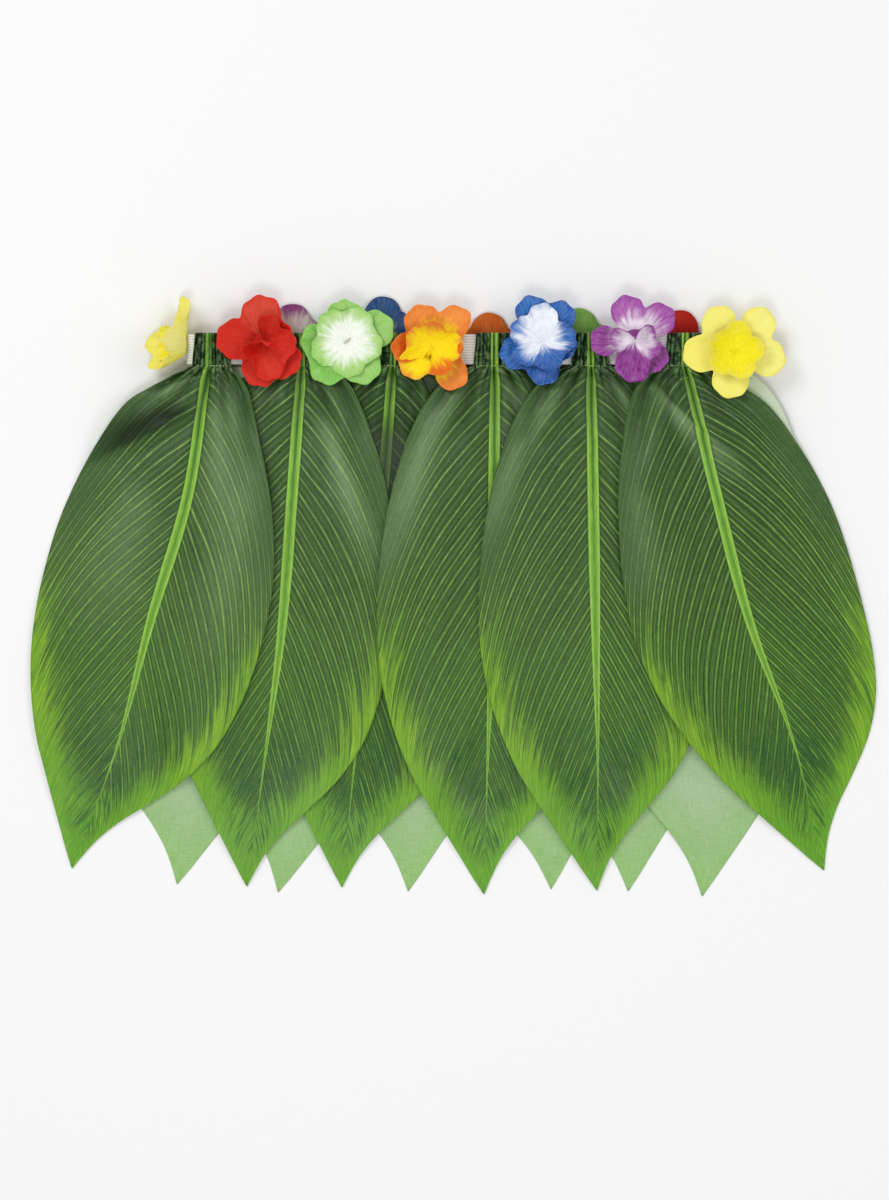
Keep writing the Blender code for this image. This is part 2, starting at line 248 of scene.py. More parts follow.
Lamp = namedtuple("Lamp", "name place size power")
LAMPS = [
    Lamp("softbox_over_tips", (-0.2, -0.84, 2.5), 0.7, 13.0),
    Lamp("softbox_top_left", (-1.3, 1.3, 2.2), 1.3, 22.0),
    Lamp("softbox_right", (1.8, 0.3, 2.0), 1.3, 10.0),
]
for lamp in LAMPS:
    data = bpy.data.lights.new(lamp.name, "AREA")
    data.shape = "DISK"
    data.size = lamp.size
    data.energy = lamp.power
    made = bpy.data.objects.new(lamp.name, data)
    made.location = lamp.place
    made.rotation_mode = "QUATERNION"
    made.rotation_quaternion = (-Vector(lamp.place)).to_track_quat("-Z", "Y")
    bpy.context.scene.collection.objects.link(made)
bpy.context.scene.view_settings.view_transform = "Standard"
print(len(LAMPS), "lamps over a floor", 2 * FLOOR_HALF, "m wide")

# %% [markdown]
# ## From a grid of points to cloth
# A leaf, a petal blank and the elastic are all one sheet that was bent, so all three are a grid
# of points with rows and columns. Flat maps go with each grid and say where a point lies on the
# cut cloth, in millimetres, because a print lies on the cloth and not in the room. The Solidify
# modifier then gives the sheet its thickness and puts the reverse finish on its far face. Most
# sheets have one side that faces outward, so a grid is turned round if its faces point the other
# way.

# %% Cloth from a grid
CLOTH_THICK = 0.35
WELD = 0.001
TINY = 1e-9


def ease(share):
    """0 to 1 with no corner at either end."""
    share = np.clip(share, 0.0, 1.0)
    return share * share * (3 - 2 * share)


def facing_out(points, outward):
    """The unit normal at each point of a grid, on the side that faces outward on average."""
    along_rows = np.gradient(points, axis=1)
    along_columns = np.gradient(points, axis=0)
    normals = np.cross(along_rows, along_columns)
    normals /= np.maximum(np.linalg.norm(normals, axis=2, keepdims=True), TINY)
    if (normals @ np.array(outward)).sum() < 0:
        normals = -normals
    return normals


def cloth_piece(name, points, maps, finishes, outward, thick=CLOTH_THICK):
    """One sheet of cloth through a grid of points, with its face on them and its back behind."""
    rows, columns = points.shape[:2]
    sheet = bmesh.new()
    bmesh.ops.create_grid(sheet, x_segments=columns - 1, y_segments=rows - 1, size=0.5)
    sheet.verts.ensure_lookup_table()
    flat = np.array([vertex.co for vertex in sheet.verts])
    column = np.rint((flat[:, 0] + 0.5) * (columns - 1)).astype(int)
    row = np.rint((flat[:, 1] + 0.5) * (rows - 1)).astype(int)
    placed = (points[row, column] + np.array(ORIGIN)) * MM
    for vertex, place in zip(sheet.verts, placed, strict=True):
        vertex.co = place
    for map_name, values in maps.items():
        layer = sheet.loops.layers.uv.new(map_name)
        on_vertex = values[row, column]
        for face in sheet.faces:
            for loop in face.loops:
                loop[layer].uv = on_vertex[loop.vert.index]
    bmesh.ops.remove_doubles(sheet, verts=sheet.verts, dist=WELD * MM)
    sheet.normal_update()
    facing = sum((face.normal * face.calc_area() for face in sheet.faces), Vector())
    if outward is not None and facing.dot(Vector(outward)) < 0:
        bmesh.ops.reverse_faces(sheet, faces=sheet.faces)
    mesh = bpy.data.meshes.new(name)
    sheet.to_mesh(mesh)
    sheet.free()
    for finish in finishes:
        mesh.materials.append(finish)
    mesh.shade_smooth()
    piece = bpy.data.objects.new(name, mesh)
    bpy.context.scene.collection.objects.link(piece)
    wall = piece.modifiers.new("cloth", "SOLIDIFY")
    wall.thickness = thick * MM
    wall.offset = -1.0
    wall.material_offset = len(finishes) - 1
    return piece


print("cloth is", CLOTH_THICK, "mm thick")

# %% [markdown]
# ## The elastic
# Knitted elastic has fine cords side by side across its width. A cosine raises them a little, which
# catches the light better than a painted stripe. The loop is pressed flat: a front run and a
# back run that meet in a round fold at each end.

# %% Elastic sizes
ELASTIC_THICK = 1.2
ELASTIC_WIDE = 20.0
WAIST_HALF = 185.6
BACK_ELASTIC_LOW = 9.3
FRONT_ELASTIC_LOW = 13.5
FRONT_ELASTIC_TOP = FRONT_ELASTIC_LOW + ELASTIC_THICK
BACK_ELASTIC_TOP = BACK_ELASTIC_LOW + ELASTIC_THICK
ELASTIC_CORDS = 11
CORD_TURN = 2 * math.pi * ELASTIC_CORDS / ELASTIC_WIDE
CORD_HIGH = 0.22
CORD_STEPS = 6
LOOP_WALL = 0.9
RUN_STEPS = 90
TURN_STEPS = 17
KNIT_ALONG = 4.2
KNIT_ACROSS = 9.0
GAP = 0.3
print("the packed loop lies", BACK_ELASTIC_LOW, "to", FRONT_ELASTIC_TOP, "mm up")

# %% [markdown]
# The finish is nearly white, with painted shade greying it between the cords, and a little uneven along the
# loop.


# %% Elastic finish
def elastic_finish():
    material, start = new_finish("knitted_elastic")
    across, along = flat_map(start, "cut")
    rib = (across * CORD_TURN).maths("SINE") * 0.5 + 0.5
    stitch = (along * KNIT_ALONG).maths("SINE") * (across * KNIT_ACROSS).maths("SINE")
    grime = cloud(across / 6, along / 25, 0.0)
    # painted shade: greyer in the grooves between the raised cords
    colour = mix(rib, paint(205, 205, 198), paint(246, 246, 243))
    colour = mix(grime * 0.25, colour, paint(222, 221, 212))
    bump = start.node("Bump", {}, {"Strength": 0.4, "Distance": 0.0002, "Height": stitch + rib})
    return end_finish(material, start, {"Base Color": colour, "Roughness": 0.8, "Normal": bump})


elastic_white = elastic_finish()
print("elastic finish", elastic_white.name)

# %% [markdown]
# The grid of the loop has a row for each place across the band, and its columns go once round.
# The front run and the back run face opposite ways, so no side of the whole grid faces the room
# and it is left as it is made: its faces look into the loop, and the wall grows outward.


# %% Bend the elastic into a loop
def make_elastic(finish):
    middle = (BACK_ELASTIC_LOW + FRONT_ELASTIC_TOP) / 2
    fold_radius = (FRONT_ELASTIC_TOP - BACK_ELASTIC_LOW - ELASTIC_THICK) / 2
    straight = WAIST_HALF - fold_radius - ELASTIC_THICK / 2
    run = np.linspace(-straight, straight, RUN_STEPS)
    turn = np.linspace(-math.pi / 2, math.pi / 2, TURN_STEPS)
    loop_x = [run, straight + fold_radius * np.cos(turn)[1:], run[::-1][1:]]
    loop_x += [-straight - fold_radius * np.cos(turn)[1:]]
    loop_z = [0 * run - fold_radius, fold_radius * np.sin(turn)[1:], 0 * run[1:] + fold_radius]
    loop_z += [-fold_radius * np.sin(turn)[1:]]
    x, z = np.concatenate(loop_x), np.concatenate(loop_z)
    length = np.concatenate([[0], np.cumsum(np.hypot(np.diff(x), np.diff(z)))])
    across = np.linspace(-0.5, 0.5, CORD_STEPS * ELASTIC_CORDS + 1) * ELASTIC_WIDE
    cord = CORD_HIGH * (0.5 + 0.5 * np.cos(across * CORD_TURN))
    radius = fold_radius + ELASTIC_THICK / 2 - CORD_HIGH + cord
    points = np.zeros((len(across), len(x), 3))
    straight_part = np.clip(x, -straight, straight)
    away = np.stack([x - straight_part, z], 1) / fold_radius
    points[:, :, 0] = straight_part + radius[:, None] * away[None, :, 0]
    points[:, :, 1] = across[:, None]
    points[:, :, 2] = middle + radius[:, None] * away[None, :, 1]
    cut = np.zeros((*points.shape[:2], 2))
    cut[:, :, 0] = across[:, None]
    cut[:, :, 1] = length[None, :]
    piece = cloth_piece("elastic_loop", points, {"cut": cut}, [finish], None, LOOP_WALL)
    return piece, length[-1]


elastic, elastic_length = make_elastic(elastic_white)
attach(elastic, "root")
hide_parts("waistband")
print("elastic loop", round(elastic_length), "mm round")

# %% [markdown]
# ## The cut of a leaf
# All twelve leaves were cut from one pattern. Half widths at a few distances below the seam
# give its outline, and a smooth curve through them gives the rest. The straight side runs down
# to the tip, and the drip side curves in sooner, which makes the drip tip lean.

# %% Leaf pattern
LeafCut = namedtuple("LeafCut", "along straight_side drip_side")
LEAF_CUT = [
    LeafCut(0, 13.0, 13.0),
    LeafCut(4, 24.0, 24.0),
    LeafCut(11, 34.0, 33.0),
    LeafCut(24, 45.0, 42.5),
    LeafCut(45, 56.0, 53.5),
    LeafCut(72, 65.0, 64.0),
    LeafCut(108, 73.0, 73.0),
    LeafCut(148, 77.5, 77.5),
    LeafCut(188, 77.0, 77.5),
    LeafCut(222, 71.5, 74.0),
    LeafCut(252, 62.0, 66.0),
    LeafCut(277, 50.5, 52.5),
    LeafCut(298, 37.5, 35.5),
    LeafCut(316, 26.0, 20.0),
    LeafCut(332, 15.5, 9.6),
    LeafCut(345, 7.0, 3.8),
    LeafCut(355, 0.0, 0.0),
]
LEAF_LONG = LEAF_CUT[-1].along
TIP_START = LEAF_LONG - 0.5


def smooth_join(t, start, end, start_slope, end_slope):
    """A smooth curve from start to end with a given slope at each, for t from 0 to 1."""
    leaving = (2 * t**3 - 3 * t**2 + 1) * start + (t**3 - 2 * t**2 + t) * start_slope
    return leaving + (3 * t**2 - 2 * t**3) * end + (t**3 - t**2) * end_slope


def cut_half_width(along, column):
    """The leaf's half width on one side, on a smooth curve through the table of its cut."""
    places = np.array([row.along for row in LEAF_CUT], float)
    widths = np.array([getattr(row, column) for row in LEAF_CUT], float)
    slopes = np.gradient(widths, places)
    along = np.clip(along, places[0], places[-1])
    left = np.clip(np.searchsorted(places, along) - 1, 0, len(places) - 2)
    step = places[left + 1] - places[left]
    t = (along - places[left]) / step
    half = smooth_join(t, widths[left], widths[left + 1], step * slopes[left], step * slopes[left + 1])
    return np.maximum(half, 0.0)


def area_under(heights, places):
    return float(np.sum((heights[1:] + heights[:-1]) / 2 * np.diff(places)))


PATTERN_STEPS = 400
pattern_rows = np.linspace(0, LEAF_LONG, PATTERN_STEPS)
pattern_widths = sum(cut_half_width(pattern_rows, column) for column in LeafCut._fields[1:])
blade_area = area_under(pattern_widths, pattern_rows)
LEAF_WIDE = max(row.straight_side + row.drip_side for row in LEAF_CUT)
print("blade area in square metres", round(blade_area * MM * MM, 4))

# %% [markdown]
# ## The print on a leaf
# The satin is printed with one large tropical leaf: a double lime rib, fine veins that leave it
# and bend toward the tip, a dark heart, and a lime margin that eats into the dark in long
# feathered streaks. Each is worked out from two places on the cloth, across the leaf from its
# rib and down the leaf from the seam, and `share` is the second as a part of the leaf's length.
# A vein is a curve. Undoing its bend gives its root, the place on the rib where it began, and
# every repeat of that place is one more vein. The left half's veins lie between the right's.

# %% Sizes of the print
VEIN_STEP = 10.0
VEIN_LEAN = 0.75
VEIN_TURN = 0.0066
VEIN_HOOK = 1.0
VEIN_HALF = 0.31
VEIN_WANDER = 5.0
STREAK_LONG = 38.0
HALF_SEED = 5.3
RIB_HALF = 4.2
RIB_TAPER = [
    (0, 0.86), (0.14, 0.9), (0.38, 0.9), (0.5, 0.72), (0.61, 0.5), (0.7, 0.28), (0.78, 0.12), (0.9, 0),
]
LIME_LEAST = -14.0
LIME_MOST = 46.0
LIME_SET_IN = 17.0
LIME_REACH = [(0, 0), (0.28, 0.04), (0.4, 0.22), (0.55, 0.36), (0.7, 0.47), (0.82, 0.64), (0.93, 1.0)]
FEATHER_MOST = 62.0
FEATHER = [(0, 0.1), (0.28, 0.25), (0.5, 0.6), (0.7, 0.9), (0.85, 1.0), (1.0, 0.8)]
print("veins leave the rib every", VEIN_STEP, "mm")


# %% Veins of the print
def vein_course(away, down, off_rib):
    """The root of the vein through each place, and how much closer veins lie there."""
    hook = off_rib.maths("POWER", 3.0) * VEIN_HOOK
    root = (down - away * (hook + VEIN_LEAN)) / (1 + VEIN_TURN * away)
    slope = root * VEIN_TURN + VEIN_LEAN + hook * 4
    crowd = (slope * slope + 1).maths("SQRT") / (1 + VEIN_TURN * away)
    return root, crowd


def vein_lines(turns, step, half, crowd):
    """One line wherever turns is a whole number and a half."""
    off = abs(turns.maths("FRACT") - 0.5) * step / crowd
    return off.smooth(half * 1.7, half * 0.4)


def printed_veins(root, crowd, away, right, share, layer):
    """How strongly a vein shows: main ones, fainter ones between them, and fine ones."""
    wander = (cloud(root / 30, away / 80, layer) - 0.5) * VEIN_WANDER
    turns = (root + wander) / VEIN_STEP + right * 0.5
    which = turns.maths("FLOOR") + layer
    strong = which.node("TexWhiteNoise", {"noise_dimensions": "1D"}, {"W": which}, take="Value")
    main = vein_lines(turns, VEIN_STEP, VEIN_HALF, crowd) * (0.75 + 0.25 * strong)
    between = vein_lines(turns + 0.5, VEIN_STEP, VEIN_HALF * 0.8, crowd) * (0.12 + 0.38 * strong)
    fine = vein_lines(turns * 4, VEIN_STEP / 4, VEIN_HALF * 0.75, crowd)
    fine = fine * (0.12 + 0.22 * share.smooth(0.2, 0.7))
    return main.maths("MAXIMUM", between).maths("MAXIMUM", fine)


# %% [markdown]
# Noise that is stretched along the veins gives the print its grain, in three widths: strands,
# fibres and hairs. The dark heart and the lime margin are both painted with it.

# %% Grain, heart and margin
Grain = namedtuple("Grain", "strand fibre hair")


def vein_grain(root, away, down, layer):
    along = (away * 0.6 + down) / STREAK_LONG
    strand = cloud(root / 9, along / 1.6, layer + 10.0)
    fibre = cloud(root / 3.2, along, layer + 6.0, 3.0)
    hair = cloud(root / 1.3, along * 1.7, layer + 8.0, 2.0)
    return Grain(strand, fibre, hair)


def dark_heart(grain, share, border, painted_sheen):
    high = mix(grain.fibre, paint(18, 46, 14), paint(38, 74, 26))
    low = mix(grain.fibre, paint(12, 42, 10), paint(36, 82, 20))
    heart = mix(share.smooth(0.12, 0.55), high, low)
    heart = mix(grain.strand * 0.2, heart, paint(66, 108, 36))
    heart = mix(border * 0.35, heart, paint(80, 112, 62))
    # painted sheen: paler grey-green where the tone map says a fold mirrors the light, and by the leaf's fade
    heart = mix(painted_sheen * 0.8, heart, paint(124, 152, 108))
    return mix(grain.hair * 0.28, heart, paint(10, 34, 10))


def lime_margin(grain, share, inset):
    """The margin's colour, and a mask that is 1 in the margin."""
    lime = mix(grain.fibre, paint(92, 148, 26), paint(154, 194, 40))
    tip = mix(grain.fibre, paint(80, 146, 30), paint(126, 184, 40))
    lime = mix(share.smooth(0.7, 0.92), lime, tip)
    lime = mix(grain.hair * 0.45, lime, paint(54, 116, 34))
    tangle = grain.strand * 0.3 + grain.fibre * 0.38 + grain.hair * 0.32 - 0.5
    reach = curve(share, LIME_REACH) * (LIME_MOST - LIME_LEAST) + LIME_LEAST
    reach = reach - inset.smooth(14.0, 3.0) * share.smooth(0.58, 0.4) * LIME_SET_IN
    ragged = reach - inset + tangle * (curve(share, FEATHER) * FEATHER_MOST)
    return lime, ragged.smooth(-11.0, 12.0)


# %% [markdown]
# The rib is two lime lines with a dark core, and it thins out before the tip. The casing is
# painted darker, and on it and just below it the bunched folds are painted as blotches of pale
# highlight and near-black shade. Last comes the tone map: painted sheen where a crease faces
# the light, and painted shade in a valley.


# %% Rib and casing
def double_rib(side, away, down, share, seed):
    """The rib's colour, a mask of the rib, and a mask of the rib with its dark rim."""
    rib_half = curve(share, RIB_TAPER) * RIB_HALF
    rib = (rib_half - away).smooth(-0.35, 0.35) * (rib_half > 0.12)
    in_rib = away / rib_half.maths("MAXIMUM", 0.2)
    colour = mix(cloud(side / 0.8, down / 12, seed), paint(104, 160, 50), paint(136, 186, 66))
    rib_edge = in_rib.smooth(0.45, 0.8) * in_rib.smooth(1.05, 0.9)
    colour = mix(rib_edge * 0.7, colour, paint(160, 206, 84))
    core = in_rib.smooth(0.4, 0.1) * (0.4 + 0.5 * share.smooth(0.4, 0.05))
    colour = mix(core, colour, paint(52, 100, 36))
    rim = (rib_half + 1.8 - away).smooth(0.0, 1.2) * share.smooth(0.6, 0.3)
    return colour, rib, rim


def bunched_cloth(colour, side, down, rib, layer):
    casing = down.smooth(3.0, -2.0) * (1 - rib)
    # painted darker over the casing
    colour = mix(casing * 0.55, colour, paint(28, 56, 28))
    fold_light_and_shade = cloud(side / 3.8, down / 5, layer + 20.0, 2.0)
    bunching = down.smooth(10.0, 0.0) * (1 - rib * 0.6)
    # painted highlights on the bunched folds, and on the next line near-black painted shade between them
    colour = mix(fold_light_and_shade.smooth(0.53, 0.66) * bunching * 0.45, colour, paint(104, 140, 88))
    return mix(fold_light_and_shade.smooth(0.47, 0.34) * bunching * 0.75, colour, paint(4, 18, 6))


# %% Printed satin
def printed_satin():
    material, start = new_finish("printed_satin")
    side, down = flat_map(start, "cut")
    inset, seed = flat_map(start, "edge")
    painted_sheen, painted_shade = flat_map(start, "tone")
    away = abs(side)
    right = side > 0.0
    share = down / LEAF_LONG
    layer = seed + right * HALF_SEED
    off_rib = away / (inset + away + 1.0)
    root, crowd = vein_course(away, down, off_rib)
    grain = vein_grain(root, away, down, layer)
    worn = cloud(root / 2, (away * 0.6 + down) / STREAK_LONG * 5, layer + 14.0)
    vein = printed_veins(root, crowd, away, right, share, layer) * (0.5 + 0.5 * worn)
    border = inset.smooth(26.0, 8.0) * share.smooth(0.5, 0.3)
    vein = vein * (1 - 0.75 * border) * (0.25 + 0.75 * down.smooth(-5.0, 2.0))

    lime, margin = lime_margin(grain, share, inset)
    colour = mix(margin, dark_heart(grain, share, border, painted_sheen), lime)
    vein_colour = mix(share.smooth(0.2, 0.7), paint(164, 202, 98), paint(132, 190, 60))
    colour = mix(vein * (0.9 - 0.45 * margin), colour, vein_colour)
    inky = (grain.fibre * 0.55 + grain.hair * 0.45).smooth(0.42, 0.66) * off_rib.smooth(0.9, 0.35)
    inky = inky * share.smooth(0.6, 0.78) * share.smooth(0.97, 0.9)
    colour = mix(inky * 0.85, colour, paint(20, 74, 34))
    rib_colour, rib, rim = double_rib(side, away, down, share, seed)
    colour = mix(rim * 0.5, colour, paint(30, 62, 30))
    colour = mix(rib, colour, rib_colour)

    warp = cloud(side / 0.9, down / 7, seed, 1.0)
    weft = cloud(side / 7, down / 0.9, seed + 3.0, 1.0)
    colour = mix(warp * 0.2, colour, paint(10, 34, 10))
    colour = mix(weft * 0.05, colour, paint(150, 190, 120))
    colour = bunched_cloth(colour, side, down, rib, layer)
    # painted shade: near-black in the valleys of pleats and gathers, along dark creases, and as painted
    # shadows of neighbouring leaves
    colour = mix(painted_shade, colour, paint(4, 24, 6))
    bump = start.node("Bump", {}, {"Strength": 0.3, "Distance": 0.0001, "Height": warp + weft})
    sockets = {"Base Color": colour, "Roughness": 0.34, "Specular IOR Level": 0.16, "Normal": bump}
    return end_finish(material, start, sockets)


# %% [markdown]
# ## The reverse of the satin
# Dye barely comes through, so the far leaves show a pale sage green. It is greyer high up and
# greener near the edge, where the print has its lime margin. Near the top it is painted nearly
# white, a painted glow of light shining through the thin cloth. The weave shows best here: two
# sets of threads, so two noises stretched one across the other.


# %% Pale reverse
def pale_reverse():
    material, start = new_finish("pale_reverse")
    side, down = flat_map(start, "cut")
    inset, seed = flat_map(start, "edge")
    share = down / LEAF_LONG
    warp = cloud(side / 0.6, down / 9, seed, 1.0)
    weft = cloud(side / 9, down / 0.6, seed + 3.0, 1.0)
    blotch = cloud(side / 30, down / 30, seed + 6.0)
    green = share.smooth(0.72, 1.0) * 0.6 + inset.smooth(34.0, 4.0) * 0.4
    colour = mix(green, paint(150, 180, 134), paint(120, 176, 74))
    colour = mix(blotch * 0.3, colour, paint(112, 156, 88))
    # painted glow: the top of a far leaf lightened toward white, as light shining through it
    colour = mix(share.smooth(0.36, 0.12) * 0.75, colour, paint(214, 224, 204))
    colour = mix((warp * 0.5 + weft * 0.5) * 0.4, colour, paint(198, 216, 180))
    bump = start.node("Bump", {}, {"Strength": 0.35, "Distance": 0.0001, "Height": warp + weft})
    sockets = {"Base Color": colour, "Roughness": 0.6, "Normal": bump, "Sheen Weight": 0.1}
    return end_finish(material, start, sockets)


satin_finishes = [printed_satin(), pale_reverse()]
print("leaf finishes", [finish.name for finish in satin_finishes])

# %% [markdown]
# ## Twelve leaves
# A row says where a leaf is stitched to the band, where its tip lies, and how it bends on the
# way. The rows run from the floor up, because each leaf is laid on those before it. `rib` says
# how far the print's rib lies off the middle of the blade at four places, as no cutter lays the
# pattern on the print exactly. `fade` is a painted sheen that makes the whole print paler.

# %% Leaf table
LEAF_COLUMNS = "side number tab_x tip_x tip_y bends left_spread right_spread slope billow phase fade rib"


class Leaf(namedtuple("Leaf", LEAF_COLUMNS)):
    """One leaf of the table."""

    @property
    def name(self):
        return f"leaf_{self.side}_{self.number}"


# fade: a painted sheen over the whole print of a near leaf
LEAVES = [
    Leaf("back", 1, -152.3, -193.8, -363.1, (2, 3, -2.5), 0, 0, 85, 0.0, 0.0, 0.3, (0, 0, 0, 0)),
    Leaf("back", 2, -86.4, -125.1, -368.6, (1, 2, -0.5), 0, 0, 85, 0.0, 0.0, 0.3, (0, 0, 0, 0)),
    Leaf("back", 3, -21.8, -36.7, -367.9, (0, 0, -3), 0, 0, 85, 0.0, 0.0, 0.3, (0, 0, 0, 0)),
    Leaf("back", 4, 44.2, 60.5, -366.5, (-1, -1, -3.5), 0, 0, 85, 0.0, 0.0, 0.3, (0, 0, 0, 0)),
    Leaf("back", 5, 106.0, 112.9, -367.9, (-1, -2, -1), 0, 0, 85, 0.0, 0.0, 0.3, (0, 0, 0, 0)),
    Leaf("back", 6, 167.3, 163.2, -371.3, (-1, -2, 1), 0, 3, 85, 0.0, 0.0, 0.3, (0, 0, 0, 0)),
    Leaf("front", 3, -47.6, -81.6, -365.2, (2, 3, 2), 0, 0, 55, 0.8, 0.4, 0.0, (0.6, 0, -1, -1.5)),
    Leaf("front", 2, -108.8, -146.2, -364.5, (1, 2, 1), 8, 0, 95, 1.6, 1.9, 0.1, (0.5, 2, 3.4, 2.2)),
    Leaf("front", 1, -169.5, -265.2, -352.2, (1.8, 5.4, 4.6), -4, -8, 115, 2.2, 3.1, 0.12, (-2.5, 6, 1, 2.7)),
    Leaf("front", 4, 21.1, 15.0, -369.9, (1, 2, 1), 0, 0, 105, 1.6, 4.4, 0.1, (1.3, 0.8, 0.3, -0.2)),
    Leaf("front", 5, 86.4, 91.8, -367.2, (0, 0, 0), 0, 0, 110, 1.8, 0.9, 0.1, (0.6, 1, 1.4, 1.6)),
    Leaf("front", 6, 150.3, 246.2, -353.6, (-2, -4, -0.5), 0, -3, 125, 2.2, 2.5, 0.05, (0.8, 0, 0.5, 3.8)),
]
print(len(LEAVES), "leaves, of which", sum(leaf.side == "front" for leaf in LEAVES), "show their print")

# %% [markdown]
# Seen from above, a leaf is its pattern laid along a line from its tab to its tip. The line is
# bent a little, and the shoulders spread where the gathers let the cloth out.

# %% Plan of a leaf
SEAM_BELOW = 1.2
SEAM_Y = -ELASTIC_WIDE / 2 - SEAM_BELOW
CASING_TOP_Y = ELASTIC_WIDE / 2 + GAP
FAN_REACH = 45.0
SHOULDER_START = 4.0
SHOULDER_FULL = 12.0
SHOULDER_FADE = 130.0


def quarter_curve(share, values):
    """A smooth curve through values at the top, the quarters and the tip of a leaf."""
    values = np.array(values, float)
    slopes = np.gradient(values)
    place = np.clip(share, 0, 1) * (len(values) - 1)
    left = np.minimum(place.astype(int), len(values) - 2)
    return smooth_join(place - left, values[left], values[left + 1], slopes[left], slopes[left + 1])


def blade_plan(leaf, along, across):
    """X and Y of a blade, and its half width. Across is -1 on the left edge and 1 on the right."""
    tab = np.array([leaf.tab_x, SEAM_Y])
    run = np.array([leaf.tip_x, leaf.tip_y]) - tab
    scale = np.hypot(*run) / LEAF_LONG
    down = run / np.hypot(*run)
    right_side, left_side = ("drip_side", "straight_side")
    if leaf.side == "back":
        right_side, left_side = left_side, right_side
    shoulder = ease(along / SHOULDER_START) * (1 - ease((along - SHOULDER_FULL) / SHOULDER_FADE))
    half = np.where(
        across > 0,
        cut_half_width(along, right_side) + leaf.right_spread * shoulder,
        cut_half_width(along, left_side) + leaf.left_spread * shoulder,
    )
    turn = ease(along / FAN_REACH) * math.atan2(down[0], -down[1])
    bend = quarter_curve(along / LEAF_LONG, [0, *leaf.bends, 0])
    sideways = across * half + bend
    x = tab[0] + scale * along * down[0] + sideways * np.cos(turn)
    y = tab[1] + scale * along * down[1] + sideways * np.sin(turn)
    return x, y, half


print("the seam lies", -SEAM_Y, "mm below the band's middle")

# %% [markdown]
# ## Laying one leaf on another
# A leaf must rest on what is already there and bridge the steps at its edges. The heights so
# far are kept on a small map of the floor. Before a leaf is laid, the map is widened by one
# cell, so that the leaf clears every edge, and then smoothed again and again without ever
# dropping below what is there. That is how a limp sheet settles over a step.

# %% The pile
PILE_STEP = 2.5
PILE_X = (-310.0, 310.0)
PILE_Y = (-395.0, 75.0)
SETTLE_ROUNDS = 40


class Pile:
    """The highest cloth so far over each place on the floor."""

    def __init__(self):
        self.x = np.arange(*PILE_X, PILE_STEP)
        self.y = np.arange(*PILE_Y, PILE_STEP)
        self.top = np.zeros((len(self.x), len(self.y)))

    def add(self, points):
        """Takes in the upper face of one more layer."""
        column = np.rint((points[..., 0] - self.x[0]) / PILE_STEP).astype(int)
        row = np.rint((points[..., 1] - self.y[0]) / PILE_STEP).astype(int)
        cell = np.clip(column, 0, len(self.x) - 1), np.clip(row, 0, len(self.y) - 1)
        np.maximum.at(self.top, cell, points[..., 2])

    def settled(self):
        """Heights on which another sheet would hang."""
        held = self.top
        for axis in (0, 1):
            held = np.maximum(held, np.maximum(np.roll(held, 1, axis), np.roll(held, -1, axis)))
        hung = held
        for _ in range(SETTLE_ROUNDS):
            near = [np.roll(hung, way, axis) for axis in (0, 1) for way in (1, -1)]
            hung = np.maximum(held, sum(near) / len(near))
        return hung

    def under(self, x, y):
        """The settled height at each point, read smoothly between the cells."""
        hung = self.settled()
        across = np.clip((x - self.x[0]) / PILE_STEP, 0, len(self.x) - 1.001)
        up = np.clip((y - self.y[0]) / PILE_STEP, 0, len(self.y) - 1.001)
        i, j = across.astype(int), up.astype(int)
        s, t = across - i, up - j
        near = hung[i, j] * (1 - t) + hung[i, j + 1] * t
        far = hung[i + 1, j] * (1 - t) + hung[i + 1, j + 1] * t
        return near * (1 - s) + far * s


pile = Pile()
print("pile map", pile.top.shape)
